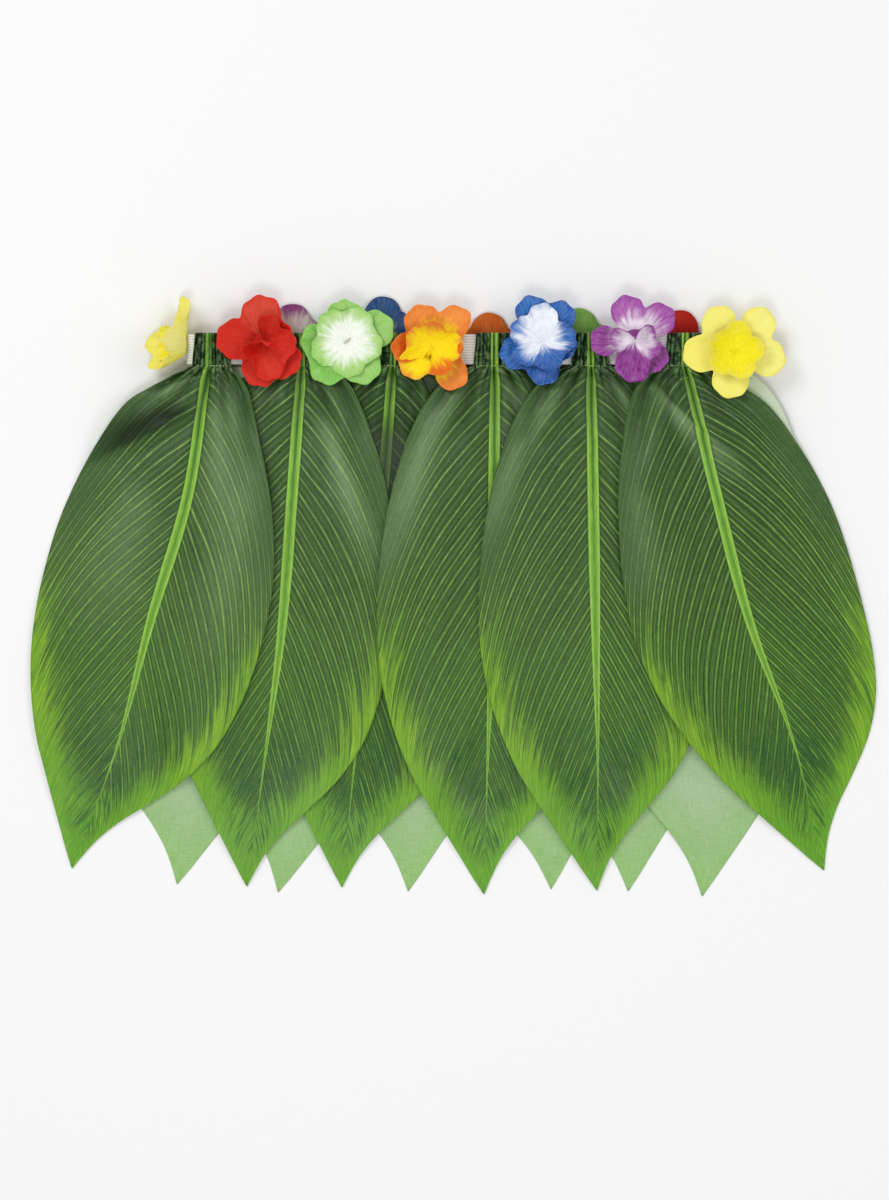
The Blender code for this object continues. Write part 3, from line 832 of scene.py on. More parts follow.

# %% [markdown]
# ## Creases
# The photograph shows some creases on every near leaf: pinches that run out of the seam, long
# folds down a shoulder, and soft bands of light. A row here is one of them, a ridge from one
# place on the blade to another, given as how far down and how far to the side of the middle.
# `above` and `below` are its widths on its two sides, `high` its height, and `tone` the painted
# sheen (or, below 0, the painted shade) along it. Rows with no height are painted only: bands of
# sheen, painted shade in folds, and painted shadows cast by a neighbouring leaf's edge.

# %% Crease table
Crease = namedtuple("Crease", "leaf from_down from_side to_down to_side above below high tone")
# a tone above 0 is painted sheen, and below 0 painted shade or a painted shadow
CREASES = [
    Crease("leaf_front_1", 26, 0, 84, -66, 30, 11, 4.2, 0),
    Crease("leaf_front_1", 26, 0, 88, -70, 24, 4, 0, -1.2),
    Crease("leaf_front_1", 5, -6, 32, -40, 4, 7, 1.8, 0.75),
    Crease("leaf_front_1", 5, 7, 66, 44, 9, 7, 2.6, 0.3),
    Crease("leaf_front_1", 4, 12, 40, 52, 5, 5, 1.6, -0.3),
    Crease("leaf_front_1", 12, 9, 104, 30, 16, 14, 1.6, 0.75),
    Crease("leaf_front_1", 50, 42, 200, 46, 24, 24, 0, 0.5),
    Crease("leaf_front_1", 76, -26, 200, -36, 32, 32, 0, 0.45),
    Crease("leaf_front_2", 5, 8, 40, 40, 6, 5, 2.4, 0.2),
    Crease("leaf_front_2", 20, 11, 124, 62, 9, 13, 1.6, 0.95),
    Crease("leaf_front_2", 5, -8, 50, -40, 8, 6, 1.8, 0.2),
    Crease("leaf_front_2", 12, -38, 120, -4, 8, 9, 0, -0.8),
    Crease("leaf_front_3", 4, 6, 40, 34, 6, 6, 1.0, 0),
    Crease("leaf_front_3", 10, 0, 190, 0, 40, 40, 0, -0.95),
    Crease("leaf_front_4", 12, -32, 140, -76, 13, 15, 1.6, 0.85),
    Crease("leaf_front_4", 10, -16, 56, -50, 7, 6, 2.4, 0.5),
    Crease("leaf_front_4", 6, 7, 40, 28, 7, 6, 1.8, 0.45),
    Crease("leaf_front_4", 14, 40, 110, 0, 8, 9, 0, -0.8),
    Crease("leaf_front_5", 5, -10, 54, -46, 10, 7, 2.2, 0.5),
    Crease("leaf_front_5", 40, -44, 120, -74, 10, 12, 1.6, 0.6),
    Crease("leaf_front_5", 5, 8, 50, 44, 8, 6, 2.4, 0.6),
    Crease("leaf_front_5", 26, -8, 76, -36, 8, 6, 0, -0.35),
    Crease("leaf_front_5", 12, 46, 140, 18, 8, 9, 0, -0.8),
    Crease("leaf_front_6", 6, -28, 78, 22, 3, 12, 2.8, 0.95),
    Crease("leaf_front_6", 0, -10, 64, 36, 10, 5, 0, -0.45),
    Crease("leaf_front_6", 5, -9, 74, -50, 12, 8, 2.4, 0.2),
    Crease("leaf_front_6", 6, 8, 60, 50, 9, 7, 2.2, -0.2),
    Crease("leaf_front_6", 60, -52, 150, -60, 18, 18, 0, 0.4),
]
print(len(CREASES), "creases, of which", sum(row.high > 0 for row in CREASES), "are raised")

# %% [markdown]
# ## Casing
# The top of a leaf is folded over the elastic and stitched below it. The path of the cloth's
# inner face, seen from the end of the band, starts at the free edge, climbs, turns over the top
# of the elastic and comes down to the seam, where the stitches pull it in.

# %% Path round the elastic
CASING_BULGE = 0.6
SEAM_TURN = 1.0
SEAM_DIP = 1.2
INNER_ROWS = 8
FOLD_ROWS = 9
OUTER_ROWS = 22
SEAM_ROWS = 5


def casing_path(side):
    """Y and Z of the cloth's inner face round the elastic, from its free edge to the seam."""
    edge_y = SEAM_Y + SEAM_TURN
    if side == "front":
        low, high = FRONT_ELASTIC_LOW - GAP, FRONT_ELASTIC_TOP + GAP
    else:
        low, high = BACK_ELASTIC_TOP + GAP, BACK_ELASTIC_LOW - GAP
    middle = (low + high) / 2
    turn = np.linspace(-math.pi / 2, math.pi / 2, FOLD_ROWS)
    seam_z = high - math.copysign(SEAM_DIP, high - low)
    inner_y = np.linspace(edge_y, CASING_TOP_Y, INNER_ROWS, endpoint=False)
    outer_y = np.linspace(CASING_TOP_Y, edge_y, OUTER_ROWS)[1:]
    seam_y = np.linspace(edge_y, SEAM_Y, SEAM_ROWS)[1:]
    dip = ease(np.linspace(0, 1, SEAM_ROWS))[1:]
    y = np.concatenate([inner_y, CASING_TOP_Y + CASING_BULGE * np.cos(turn), outer_y, seam_y])
    z = np.concatenate([
        0 * inner_y + low,
        middle + (high - middle) * np.sin(turn),
        0 * outer_y + high,
        high + (seam_z - high) * dip,
    ])
    outer = np.concatenate([0 * inner_y, ease(turn / math.pi + 0.5), 0 * outer_y + 1, 0 * seam_y + 1])
    return y, z, outer


print("a casing has", len(casing_path("front")[0]), "rows")

# %% [markdown]
# ## Gathers and pleats
# Five deep gathers run out of the seam, with small tight pleats between them, and fade down the
# blade. Just below the stitches the pleats stand up once more as a ruffle. On top come the
# creases, the dome of a gathered leaf, and a long low wave that keeps a limp blade from lying
# dead flat.

# %% Waves across and down a leaf
GATHERS = 5
CASING_GATHER = 0.8
BLADE_GATHER = 2.4
GATHER_START = 4.0
GATHER_REACH = 62.0
PLEATS = 7
PLEAT_HIGH = 2.2
PLEAT_REACH = 30.0
PLEAT_SHARP = 0.7
PLEAT_STRAY = 0.06
PLEAT_STRAYS = 9
RUFFLE_HIGH = 2.4
RUFFLE_DOWN = 3.4
RUFFLE_LONG = 2.4
DOME_HIGH = 3.0
DOME_START = 50.0
DOME_REACH = 250.0
BILLOW_EASE = 60.0
BILLOW_LENGTH = 42.0
BILLOW_SKEW = 1.3
CREASE_NARROW = 0.35
CREASE_RISE = 0.25
CREASE_HOLD = 0.45
CREASE_FALL = 0.75


def bell(distance):
    """1 in the middle, and gone by about twice the unit."""
    return np.exp(-(distance**2))


def gather_wave(across):
    """The gathers across a leaf, from 0 in a valley to 1 on a ridge."""
    return 0.5 + 0.5 * np.cos(math.pi * GATHERS * (across + 1))


def pleat_wave(across, phase):
    """Small tight pleats, unevenly spaced, round on top and sharp in their valleys."""
    spread = across + PLEAT_STRAY * np.sin(across * PLEAT_STRAYS + phase)
    return np.abs(np.cos(math.pi / 2 * PLEATS * spread + phase)) ** PLEAT_SHARP


def crease_sum(leaf, down, side, column):
    """How much the leaf's creases add up to at each point, in height or in tone."""
    total = 0 * (down + side)
    for crease in CREASES:
        if crease.leaf == leaf.name:
            run_down = crease.to_down - crease.from_down
            run_side = crease.to_side - crease.from_side
            length = math.hypot(run_down, run_side)
            share = (down - crease.from_down) * run_down + (side - crease.from_side) * run_side
            share = share / length**2
            off = (down - crease.from_down) * run_side - (side - crease.from_side) * run_down
            off = off / length
            above = off * np.sign(run_side) < 0
            wide = np.where(above, crease.above, crease.below)
            wide = wide * (CREASE_NARROW + (1 - CREASE_NARROW) * np.clip(share, 0, 1))
            fade = ease(share / CREASE_RISE) * (1 - ease((share - CREASE_HOLD) / CREASE_FALL))
            total += getattr(crease, column) * fade * bell(off / wide)
    return total


def blade_relief(leaf, along, across, side, wave, pleats):
    """How high the gathers, pleats, billows and creases of a near leaf stand."""
    gather = wave * (1 - ease(along / GATHER_REACH)) * ease(along / GATHER_START) * BLADE_GATHER
    gather = gather + CASING_GATHER * wave * (1 - ease(along / GATHER_START))
    gather = gather + PLEAT_HIGH * pleats * (1 - ease(along / PLEAT_REACH))
    ruffle = RUFFLE_HIGH * pleats * bell((along - RUFFLE_DOWN) / RUFFLE_LONG)
    billow = leaf.billow * ease(along / BILLOW_EASE) * ease((LEAF_LONG - along) / BILLOW_EASE)
    billow = billow * (0.5 + 0.5 * np.sin(along / BILLOW_LENGTH + across * BILLOW_SKEW + leaf.phase))
    dome = DOME_HIGH * (1 - across**2) * ease(along / DOME_START) * (1 - ease(along / DOME_REACH))
    return gather + ruffle + billow + dome + crease_sum(leaf, along, side, "high")


print(GATHERS, "gathers and", PLEATS, "pleats across a leaf")

# %% [markdown]
# ## Tones of painted light and shade
# A tone map goes with each leaf, since fine satin shows a fold more by its tone than by its
# height. It holds painted sheen and painted shade at each point: painted shade in the valleys of
# pleats and gathers and along a dark crease, painted sheen along a light crease and over the
# whole leaf by its fade, and painted highlights where the stitches turn the pleats up into the light.

# %% Tones of a leaf
VALLEY_DARK = 0.85
VALLEY_SHARP = 1.6
GATHER_DARK = 0.6
CREASE_DARK = 0.85
SEAM_LIGHT = 1.3
SEAM_LIGHT_DOWN = 1.5
SEAM_LIGHT_LONG = 2.6
SEAM_LIGHT_TOP = -3.0


def leaf_tones(leaf, along, down, side, wave, pleats):
    """The painted sheen and the painted shade at each point of a leaf's cloth."""
    # painted shade in the pleat valleys, then in the gather valleys, then along dark creases
    shade = VALLEY_DARK * (1 - pleats**VALLEY_SHARP) * (1 - ease(along / PLEAT_REACH))
    in_gathers = ease(along / GATHER_START) * (1 - ease(along / GATHER_REACH))
    shade = np.maximum(shade, GATHER_DARK * (1 - wave) * in_gathers)
    # the creases' painted sheen, and below 0 their painted shade
    light = crease_sum(leaf, along, side, "tone") if leaf.side == "front" else 0 * side
    shade = np.maximum(shade, CREASE_DARK * np.clip(-light, 0, 1))
    # painted highlights on the pleats just below the stitches
    seam_highlight = SEAM_LIGHT * pleats**2 * bell((along - SEAM_LIGHT_DOWN) / SEAM_LIGHT_LONG)
    seam_highlight = seam_highlight * (down > SEAM_LIGHT_TOP)
    pale = np.clip(leaf.fade + np.maximum(light, seam_highlight), 0, 1)
    return np.stack([pale, shade + 0 * side], 2)


print("a valley takes", VALLEY_DARK, "of the darkest tone")

# %% [markdown]
# ## Stitches
# The seam is sewn with green thread that catches the ridges and dives through the valleys. Each
# stitch is one short run of a curve with a round bevel, laid on the grid's own seam row. The yarn
# in the green flower is a thicker thread of the same kind.

# %% Seam stitches
STITCHES = 11
STITCH_SPAN = 0.9
STITCH_SHARE = 0.62
STITCH_RADIUS = 0.5
STITCH_ARCH = [-0.6, 0.7, 1.0, 0.7, -0.6]
WEAVE_SCALE = 1500.0


def thread_finish(name, dark, light):
    material, start = new_finish(name)
    place = start.node("TexCoord", {}, {}, take="Object")
    twist = start.node("TexNoise", {}, {"Vector": place, "Scale": WEAVE_SCALE, "Detail": 1.0}, take="Fac")
    colour = mix(twist.smooth(0.35, 0.65), dark, light)
    bump = start.node("Bump", {}, {"Strength": 0.5, "Distance": 0.0002, "Height": twist})
    return end_finish(material, start, {"Base Color": colour, "Roughness": 0.7, "Normal": bump})


green_thread = thread_finish("green_thread", paint(92, 132, 62), paint(176, 206, 132))
yarn = thread_finish("beige_yarn", paint(168, 164, 142), paint(226, 222, 204))


def thread_runs(name, runs, radius, finish):
    """One curve object with a round thread along each run of points."""
    data = bpy.data.curves.new(name, "CURVE")
    data.dimensions = "3D"
    data.bevel_depth = radius * MM
    data.bevel_resolution = 2
    data.use_fill_caps = True
    for run in runs:
        spline = data.splines.new("POLY")
        spline.points.add(len(run) - 1)
        for point, place in zip(spline.points, run, strict=True):
            point.co = (*((Vector(place) + ORIGIN) * MM), 1.0)
    data.materials.append(finish)
    piece = bpy.data.objects.new(name, data)
    bpy.context.scene.collection.objects.link(piece)
    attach(piece, "root")


def sew_seam(leaf, seam_row, outward):
    """Stitches across a leaf's seam, along one row of points of its face."""
    last = len(seam_row) - 1
    rise = outward * STITCH_RADIUS * np.array(STITCH_ARCH)
    runs = []
    for start in np.linspace(-STITCH_SPAN, STITCH_SPAN, STITCHES + 1)[:-1]:
        places = start + np.linspace(0, STITCH_SHARE, len(rise)) * 2 * STITCH_SPAN / STITCHES
        at = (places + 1) / 2 * last
        x, y, z = (np.interp(at, range(last + 1), seam_row[:, axis]) for axis in range(3))
        runs.append(list(zip(x, y, z + rise, strict=True)))
    thread_runs(f"{leaf.name}_stitches", runs, STITCH_RADIUS, green_thread)


print(STITCHES, "stitches across a seam, finishes", green_thread.name, "and", yarn.name)

# %% [markdown]
# ## One leaf
# The first rows of the grid go round the elastic, and the rest go down the blade, closer
# together near the seam where the cloth is busiest. The casing narrows upward, as the gathers
# are pulled tight on the elastic.

# %% Grid of a leaf
CASING_TAPER = 0.13
COLUMNS = 88
BACK_COLUMNS = 48
BLADE_ROWS = 128
BACK_ROWS = 96
ROW_CROWD = 1.35
Grid = namedtuple("Grid", "x y side half across along down casing_z outer rows")


def leaf_grid(leaf):
    """Where each point of a leaf's grid lies, in plan and on the flat cloth."""
    front = leaf.side == "front"
    casing_y, casing_z, outer = casing_path(leaf.side)
    rows = len(casing_y)
    blade = TIP_START * np.linspace(0, 1, BLADE_ROWS if front else BACK_ROWS)[1:] ** ROW_CROWD
    across = np.linspace(-1, 1, (COLUMNS if front else BACK_COLUMNS) + 1)[None, :]
    along = np.concatenate([0 * casing_y, blade])[:, None]
    x, y, half = blade_plan(leaf, along, across)
    x, y = x + 0 * across, y + 0 * across
    y[:rows] = casing_y[:, None]
    taper = 1 - CASING_TAPER * ease((casing_y - SEAM_Y) / (CASING_TOP_Y - SEAM_Y))
    x[:rows] = leaf.tab_x + (x[:rows] - leaf.tab_x) * taper[:, None]
    wrapped = np.concatenate([[0], np.cumsum(np.hypot(np.diff(casing_y), np.diff(casing_z)))])
    down = np.concatenate([wrapped - wrapped[-1], blade])[:, None] + 0 * across
    return Grid(x, y, across * half, half, across, along, down, casing_z, outer, rows)


print("a near leaf's grid is", leaf_grid(LEAVES[-1]).x.shape)

# %% [markdown]
# A blade hangs on whichever is higher: the settled pile, or a slope that comes down from the
# seam. Its relief goes on top. The cloth's visible face lies a little above its underside, so
# that the layers of the pile never touch.

# %% Heights of a leaf
WALL = 1.0
LAYER_GAP = 0.4
CASING_FACE = 0.45
FACE_REACH = 14.0


def leaf_underside(leaf, grid, wave, pleats, outward):
    """The points of the cloth's lower face, or its upper one on a far leaf."""
    front = leaf.side == "front"
    z = np.zeros_like(grid.x)
    on_elastic = outward * grid.outer[:, None]
    z[:grid.rows] = grid.casing_z[:, None] + on_elastic * (CASING_GATHER * wave + PLEAT_HIGH * pleats)
    seam_z = grid.casing_z[-1]
    lift = 0.0 if front else WALL
    below = pile.under(grid.x, grid.y)
    support = lift + below + LAYER_GAP * ease(below / LAYER_GAP)
    slope = seam_z + (lift - seam_z) * ease(grid.along / leaf.slope)
    laid = np.maximum(support, slope)
    if front:
        laid = laid + blade_relief(leaf, grid.along, grid.across, grid.side, wave, pleats)
    z[grid.rows:] = laid[grid.rows:]
    return np.stack([grid.x, grid.y, z], 2)


def visible_face(underside, grid, outward):
    """The points of the visible face, a cloth's distance from the underside."""
    face = underside.copy()
    rows = grid.rows
    raised = CASING_FACE + (WALL - CASING_FACE) * ease(grid.along[rows:] / FACE_REACH)
    face[rows:] += facing_out(underside[rows:], (0, 0, outward)) * raised[:, :, None]
    face[:rows] += facing_out(underside[:rows + 1], (0, 0, outward))[:-1] * CASING_FACE
    return face


print("a leaf's face is", CASING_FACE, "mm off the elastic and", WALL, "mm off the pile")

# %% [markdown]
# A leaf is then one sheet with three flat maps: its place on the cut, with the fullness of the
# gathers given back to the cloth near the seam; its distance from the edge, with a number that
# makes its noise its own; and its tones of painted sheen and painted shade.

# %% One leaf
FULLNESS = 0.5
FULLNESS_REACH = 12.0
LEAF_SEED = 11.0


def make_leaf(leaf, index):
    outward = 1.0 if leaf.side == "front" else -1.0
    grid = leaf_grid(leaf)
    wave, pleats = gather_wave(grid.across), pleat_wave(grid.across, leaf.phase + index)
    underside = leaf_underside(leaf, grid, wave, pleats, outward)
    face = visible_face(underside, grid, outward)
    pile.add(face if outward > 0 else underside)

    rib = quarter_curve(grid.down / LEAF_LONG, [*leaf.rib, 0])
    full = 1 + FULLNESS * (1 - ease(grid.down / FULLNESS_REACH))
    inset = (1 - abs(grid.across)) * grid.half * full
    maps = {
        "cut": np.stack([(grid.side * full - rib) * outward, grid.down], 2),
        "edge": np.stack([inset, 0 * grid.side + LEAF_SEED * index], 2),
        "tone": leaf_tones(leaf, grid.along, grid.down, grid.side, wave, pleats),
    }
    piece = cloth_piece(f"{leaf.name}_cloth", face, maps, satin_finishes, (0, 0, outward))
    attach(piece, "root")
    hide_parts(leaf.name)
    tab_long = -grid.down[0, 0]
    area = blade_area + 2 * LEAF_CUT[0].drip_side * tab_long
    flat = (LEAF_WIDE * MM, (LEAF_LONG + tab_long) * MM)
    area * MM * MM
    sew_seam(leaf, face[grid.rows - 1], outward)
    return piece, face


print("a leaf's print is", 1 + FULLNESS, "times as wide on its tab")

# %% [markdown]
# ## Petals
# A flower is two stamped blanks of thin cloth, the smaller stitched on the larger. Each blank is
# five round petals on a hub. Heat and packing gave every petal of the near flowers its own bend,
# so a row here is one petal: where it points, how far out its disc lies and how round it is,
# how far it stands up, how much further it rolls, how far the pale heart reaches along it, and
# how deep its dye is, a low depth being partly painted light shining through the petal. The far
# flowers were pressed flat, so their petals are all alike.

# %% Petal tables
class Flower(namedtuple("Flower", "place colour x y turn shoulder ruffle crumple heart")):
    """One flower of the table. Its heart is given here only where it lies on the far side."""

    @property
    def name(self):
        return f"flower_{self.place}_{self.colour}"


FLOWERS = [
    Flower("front", "red", -134.5, 4.5, 0, 9, 1.0, 0.25, 0),
    Flower("front", "green", -77.9, 5.3, 0, 9, 1.0, 0.35, 0),
    Flower("front", "orange", -20.0, 0.5, 0, 9, 0.8, 0.3, 0),
    Flower("front", "blue", 53.7, 4.8, 0, 10, 1.0, 0.35, 0),
    Flower("front", "purple", 116.3, 6.0, 0, 10, 0.9, 0.4, 0),
    Flower("front", "yellow", 184.3, -1.9, 0, 11, 0.6, 0.25, 0),
    Flower("left", "yellow", -186.2, 3.0, 0, 7, 1.0, 0.4, 0),
    Flower("back", "red", 141.0, -4.0, 110, 12, 0.3, 0.2, 8),
    Flower("back", "green", 80.2, -4.0, 88, 12, 0.3, 0.2, 12),
    Flower("back", "orange", 18.4, -7.0, 90, 12, 0.3, 0.2, 8),
    Flower("back", "blue", -53.7, 4.0, 90, 12, 0.3, 0.2, 9),
    Flower("back", "purple", -115.0, -1.0, 90, 12, 0.3, 0.2, 25),
]
Petal = namedtuple("Petal", "turn reach round lift roll heart deep")
PETALS = {
    "flower_front_red_outer": [
        Petal(92, 17.5, 15.0, 10, 6, 4, 0.0),
        Petal(174, 18.5, 14.5, 10, 16, 6, 0.7),
        Petal(-94, 17.5, 13.5, 10, 4, 6, 0.6),
        Petal(-40, 17.0, 15.0, 14, 10, 6, 0.7),
        Petal(20, 14.0, 12.5, 34, 20, 6, 0.9),
    ],
    "flower_front_red_inner": [
        Petal(70, 13.0, 11.5, 34, 24, 5, 0.7),
        Petal(154, 19.0, 12.0, 80, 92, 5, 0.9),
        Petal(-140, 12.0, 10.0, 40, 20, 5, 0.9),
        Petal(-76, 15.5, 13.0, 16, 8, 5, 0.6),
        Petal(-8, 14.5, 12.5, 26, 14, 5, 0.7),
    ],
    "flower_front_green_outer": [
        Petal(96, 15.5, 13.5, 18, 0, 12, 0.3),
        Petal(181, 19.0, 13.0, 8, 6, 10, 0.9),
        Petal(233, 20.5, 13.5, 6, 0, 12, 0.9),
        Petal(-58, 19.0, 13.5, 6, 0, 14, 0.5),
        Petal(22, 20.5, 13.5, 8, 0, 14, 0.4),
    ],
    "flower_front_green_inner": [
        Petal(60, 13.0, 12.5, 14, 0, 17, 0.1),
        Petal(132, 13.0, 12.5, 16, 4, 16, 0.1),
        Petal(204, 13.5, 12.5, 12, 0, 15, 0.2),
        Petal(-84, 13.5, 12.5, 14, 4, 15, 0.2),
        Petal(-12, 13.0, 12.5, 12, 0, 16, 0.1),
    ],
    "flower_front_orange_outer": [
        Petal(112, 18.5, 13.6, 14, 10, 16, 0.4),
        Petal(48, 23.0, 12.5, 10, 6, 20, 0.3),
        Petal(0, 15.0, 13.0, 40, 30, 10, 0.9),
        Petal(-52, 21.5, 12.5, 10, 8, 20, 0.4),
        Petal(182, 22.0, 12.0, 22, 34, 8, 1.0),
    ],
    "flower_front_orange_inner": [
        Petal(88, 14.0, 13.0, 38, 36, 16, 0.5),
        Petal(4, 12.5, 14.0, 26, 30, 23, 0.3),
        Petal(-66, 14.5, 12.5, 30, 30, 13, 0.9),
        Petal(222, 17.0, 13.0, 18, 20, 26, 0.3),
        Petal(150, 13.5, 12.0, 32, 26, 21, 0.5),
    ],
    "flower_front_blue_outer": [
        Petal(108, 21.0, 12.0, 10, 6, 16, 0.5),
        Petal(54, 21.0, 12.0, 14, 12, 14, 0.8),
        Petal(-10, 15.5, 12.5, 26, 24, 12, 1.0),
        Petal(-86, 20.5, 12.0, 14, 24, 10, 1.0),
        Petal(204, 18.5, 12.5, 12, 8, 15, 0.7),
    ],
    "flower_front_blue_inner": [
        Petal(88, 16.0, 11.0, 14, 4, 26, 0.2),
        Petal(150, 13.5, 11.5, 18, 8, 18, 0.2),
        Petal(214, 12.5, 11.5, 20, 12, 13, 0.6),
        Petal(-66, 16.5, 13.0, 22, 50, 5, 1.0),
        Petal(8, 14.0, 12.5, 22, 16, 15, 0.9),
    ],
    "flower_front_purple_outer": [
        Petal(104, 19.8, 12.0, 12, 8, 16, 0.2),
        Petal(40, 21.8, 12.0, 12, 8, 18, 0.4),
        Petal(-42, 19.0, 11.0, 20, 16, 14, 0.7),
        Petal(-90, 17.0, 13.0, 14, 6, 7, 1.0),
        Petal(182, 20.5, 11.5, 14, 14, 15, 0.7),
    ],
    "flower_front_purple_inner": [
        Petal(96, 15.0, 11.0, 74, 84, 7, 1.0),
        Petal(30, 13.0, 10.0, 44, 30, 15, 0.3),
        Petal(-28, 14.0, 10.5, 34, 22, 14, 0.5),
        Petal(-94, 17.0, 13.5, 16, 12, 2, 1.0),
        Petal(174, 13.0, 9.5, 36, 18, 15, 0.4),
    ],
    "flower_front_yellow_outer": [
        Petal(119, 22.0, 12.5, 12, -4, 10, 0.2),
        Petal(50, 24.0, 12.5, 8, 0, 9, 0.1),
        Petal(-11, 22.0, 13.0, 8, 0, 10, 0.1),
        Petal(-99, 19.0, 13.0, 8, 0, 9, 0.3),
        Petal(183, 23.0, 13.0, 8, 0, 9, 0.4),
    ],
    "flower_front_yellow_inner": [
        Petal(84, 14.0, 11.0, 24, 26, 15, 0.9),
        Petal(150, 13.5, 11.0, 30, 36, 15, 1.0),
        Petal(-140, 13.5, 11.0, 26, 28, 15, 0.9),
        Petal(-68, 13.5, 11.0, 26, 30, 15, 0.9),
        Petal(6, 13.5, 11.0, 28, 32, 15, 1.0),
    ],
    "flower_left_yellow_outer": [
        Petal(90, 20.5, 13.0, 0, 0, 10, 0.4),
        Petal(8, 18.5, 13.5, 58, 12, 6, 0.0),
        Petal(-60, 18.0, 12.5, 54, 12, 8, 0.5),
        Petal(-128, 19.0, 12.5, 56, 8, 8, 0.5),
        Petal(176, 19.0, 12.5, 54, 8, 8, 0.4),
    ],
    "flower_left_yellow_inner": [
        Petal(60, 11.5, 10.0, 50, 8, 8, 1.0),
        Petal(-10, 11.5, 10.0, 54, 8, 8, 1.0),
        Petal(-82, 11.5, 10.0, 48, 8, 8, 1.0),
        Petal(-154, 11.5, 10.0, 50, 6, 8, 1.0),
        Petal(132, 11.5, 10.0, 48, 6, 8, 1.0),
    ],
}
FAR_REACH = 20.5
FAR_ROUND = 13.0
FAR_LIFT = 10
FAR_INNER = 0.8
FAR_DEEP = 0.9
PETAL_APART = 360 // 5
for flower in FLOWERS:
    if flower.place == "back":
        for layer, size, first in (("outer", 1.0, 0), ("inner", FAR_INNER, PETAL_APART // 2)):
            reach, wide = FAR_REACH * size, FAR_ROUND * size
            PETALS[f"{flower.name}_{layer}"] = [
                Petal(turn, reach, wide, FAR_LIFT, 0, flower.heart, FAR_DEEP)
                for turn in range(first, first + 360, PETAL_APART)
            ]
print(len(PETALS), "blanks with", sum(len(rows) for rows in PETALS.values()), "petals")

# %% [markdown]
# ## Dyed petals
# The dye was brushed on wet, so it runs along the petal: a pale heart, a body that is lighter or
# deeper from petal to petal, and a rim. The lighter bodies are partly painted light, the glow of
# light shining through a thin petal. A flat map called petal carries the heart's reach and the
# depth of the dye. The far flowers turn their undyed side up, so they are duller, and they are
# darkened with painted shade as well.

# %% Petal finishes
Dye = namedtuple("Dye", "colour heart pale deep rim")
DYES = [
    Dye("red", paint(184, 10, 8), paint(216, 78, 58), paint(206, 16, 8), paint(212, 40, 24)),
    Dye("green", paint(250, 252, 246), paint(172, 214, 118), paint(96, 178, 38), paint(130, 196, 72)),
    Dye("orange", paint(252, 232, 24), paint(240, 158, 84), paint(226, 82, 20), paint(232, 112, 48)),
    Dye("blue", paint(246, 248, 252), paint(0, 114, 198), paint(0, 86, 168), paint(0, 68, 150)),
    Dye("purple", paint(250, 244, 250), paint(176, 88, 176), paint(128, 8, 128), paint(138, 30, 140)),
    Dye("yellow", paint(244, 232, 8), paint(242, 236, 142), paint(246, 232, 10), paint(238, 230, 104)),
]
RIM_WIDE = 5.0
STREAKS = 9
THREADS = 30


def petal_finish(dye, far):
    material, start = new_finish(f"{dye.colour}_petals" + ("_far" if far else ""))
    blank = start.node("UVMap", {"uv_map": "blank"}, {})
    reach = start.node("VectorMath", {"operation": "LENGTH"}, {0: blank}, take="Value")
    heading = start.node("VectorMath", {"operation": "NORMALIZE"}, {0: blank})
    turn_x, turn_y = start.node("SeparateXYZ", {}, {0: heading}, take=("X", "Y"))
    inset, seed = flat_map(start, "edge")
    heart_reach, deep = flat_map(start, "petal")
    streak = cloud(turn_x * STREAKS, turn_y * STREAKS, seed + reach / 22, 3.0)
    thread = cloud(turn_x * THREADS, turn_y * THREADS, seed + reach / 7, 1.0)
    blot = cloud(turn_x * 3, turn_y * 3, seed + reach / 12)
    body = (reach - heart_reach + (streak - 0.5) * 6 + (blot - 0.5) * 6).smooth(-6.5, 7.5)
    # partly painted light: a petal of low depth takes the pale colour of light shining through it
    dyed = mix(deep, dye.pale, dye.deep)
    dyed = mix((blot - 0.5).maths("MAXIMUM", 0.0) * 0.7, dyed, dye.pale)
    dyed = mix((inset + (streak - 0.5) * 4).smooth(RIM_WIDE, 0.0) * 0.7, dyed, dye.rim)
    colour = mix(body, dye.heart, dyed)
    colour = mix(thread * 0.12, colour, dye.heart)
    weave = cloud(turn_x * reach / 0.5, turn_y * reach / 0.5, seed, 1.0)
    colour = mix(weave * 0.12, colour, dye.pale)
    # painted shade on the far flowers, as well as the dullness of their undyed reverse
    if far:
        colour = mix(0.75, colour, paint(188, 176, 156), "MULTIPLY")
    height = thread * 0.5 + streak
    bump = start.node("Bump", {}, {"Strength": 0.45, "Distance": 0.0006, "Height": height})
    sockets = {"Base Color": colour, "Roughness": 0.55, "Specular IOR Level": 0.14, "Normal": bump}
    return end_finish(material, start, sockets)


worn_colours = {(flower.colour, flower.place == "back") for flower in FLOWERS}
petal_finishes = {
    (dye.colour, far): petal_finish(dye, far)
    for dye in DYES
    for far in (False, True)
    if (dye.colour, far) in worn_colours
}
print(len(petal_finishes), "petal finishes")

# %% [markdown]
# ## A stamped blank, bent
# The blank is a grid of spokes and rings. Its edge is whichever petal disc reaches furthest at
# that angle. Every spoke leaves the hub flat, turns up at the shoulder and may roll on, and its
# points are found by adding up short steps at the tilt so far, as a real strip would bend.
# Between two petals the lift and roll change smoothly, which is what makes the folds.

# %% Outline of a blank
HUB_EDGE = 9.0
EDGE_ROUNDS = 4
BLEND_ANGLE = 0.42
TINY_SHARE = 1e-6


def off_angle(angle, turn):
    """How far each angle is from a petal's, from minus half a turn to half a turn."""
    return np.mod(angle - math.radians(turn) + math.pi, 2 * math.pi) - math.pi


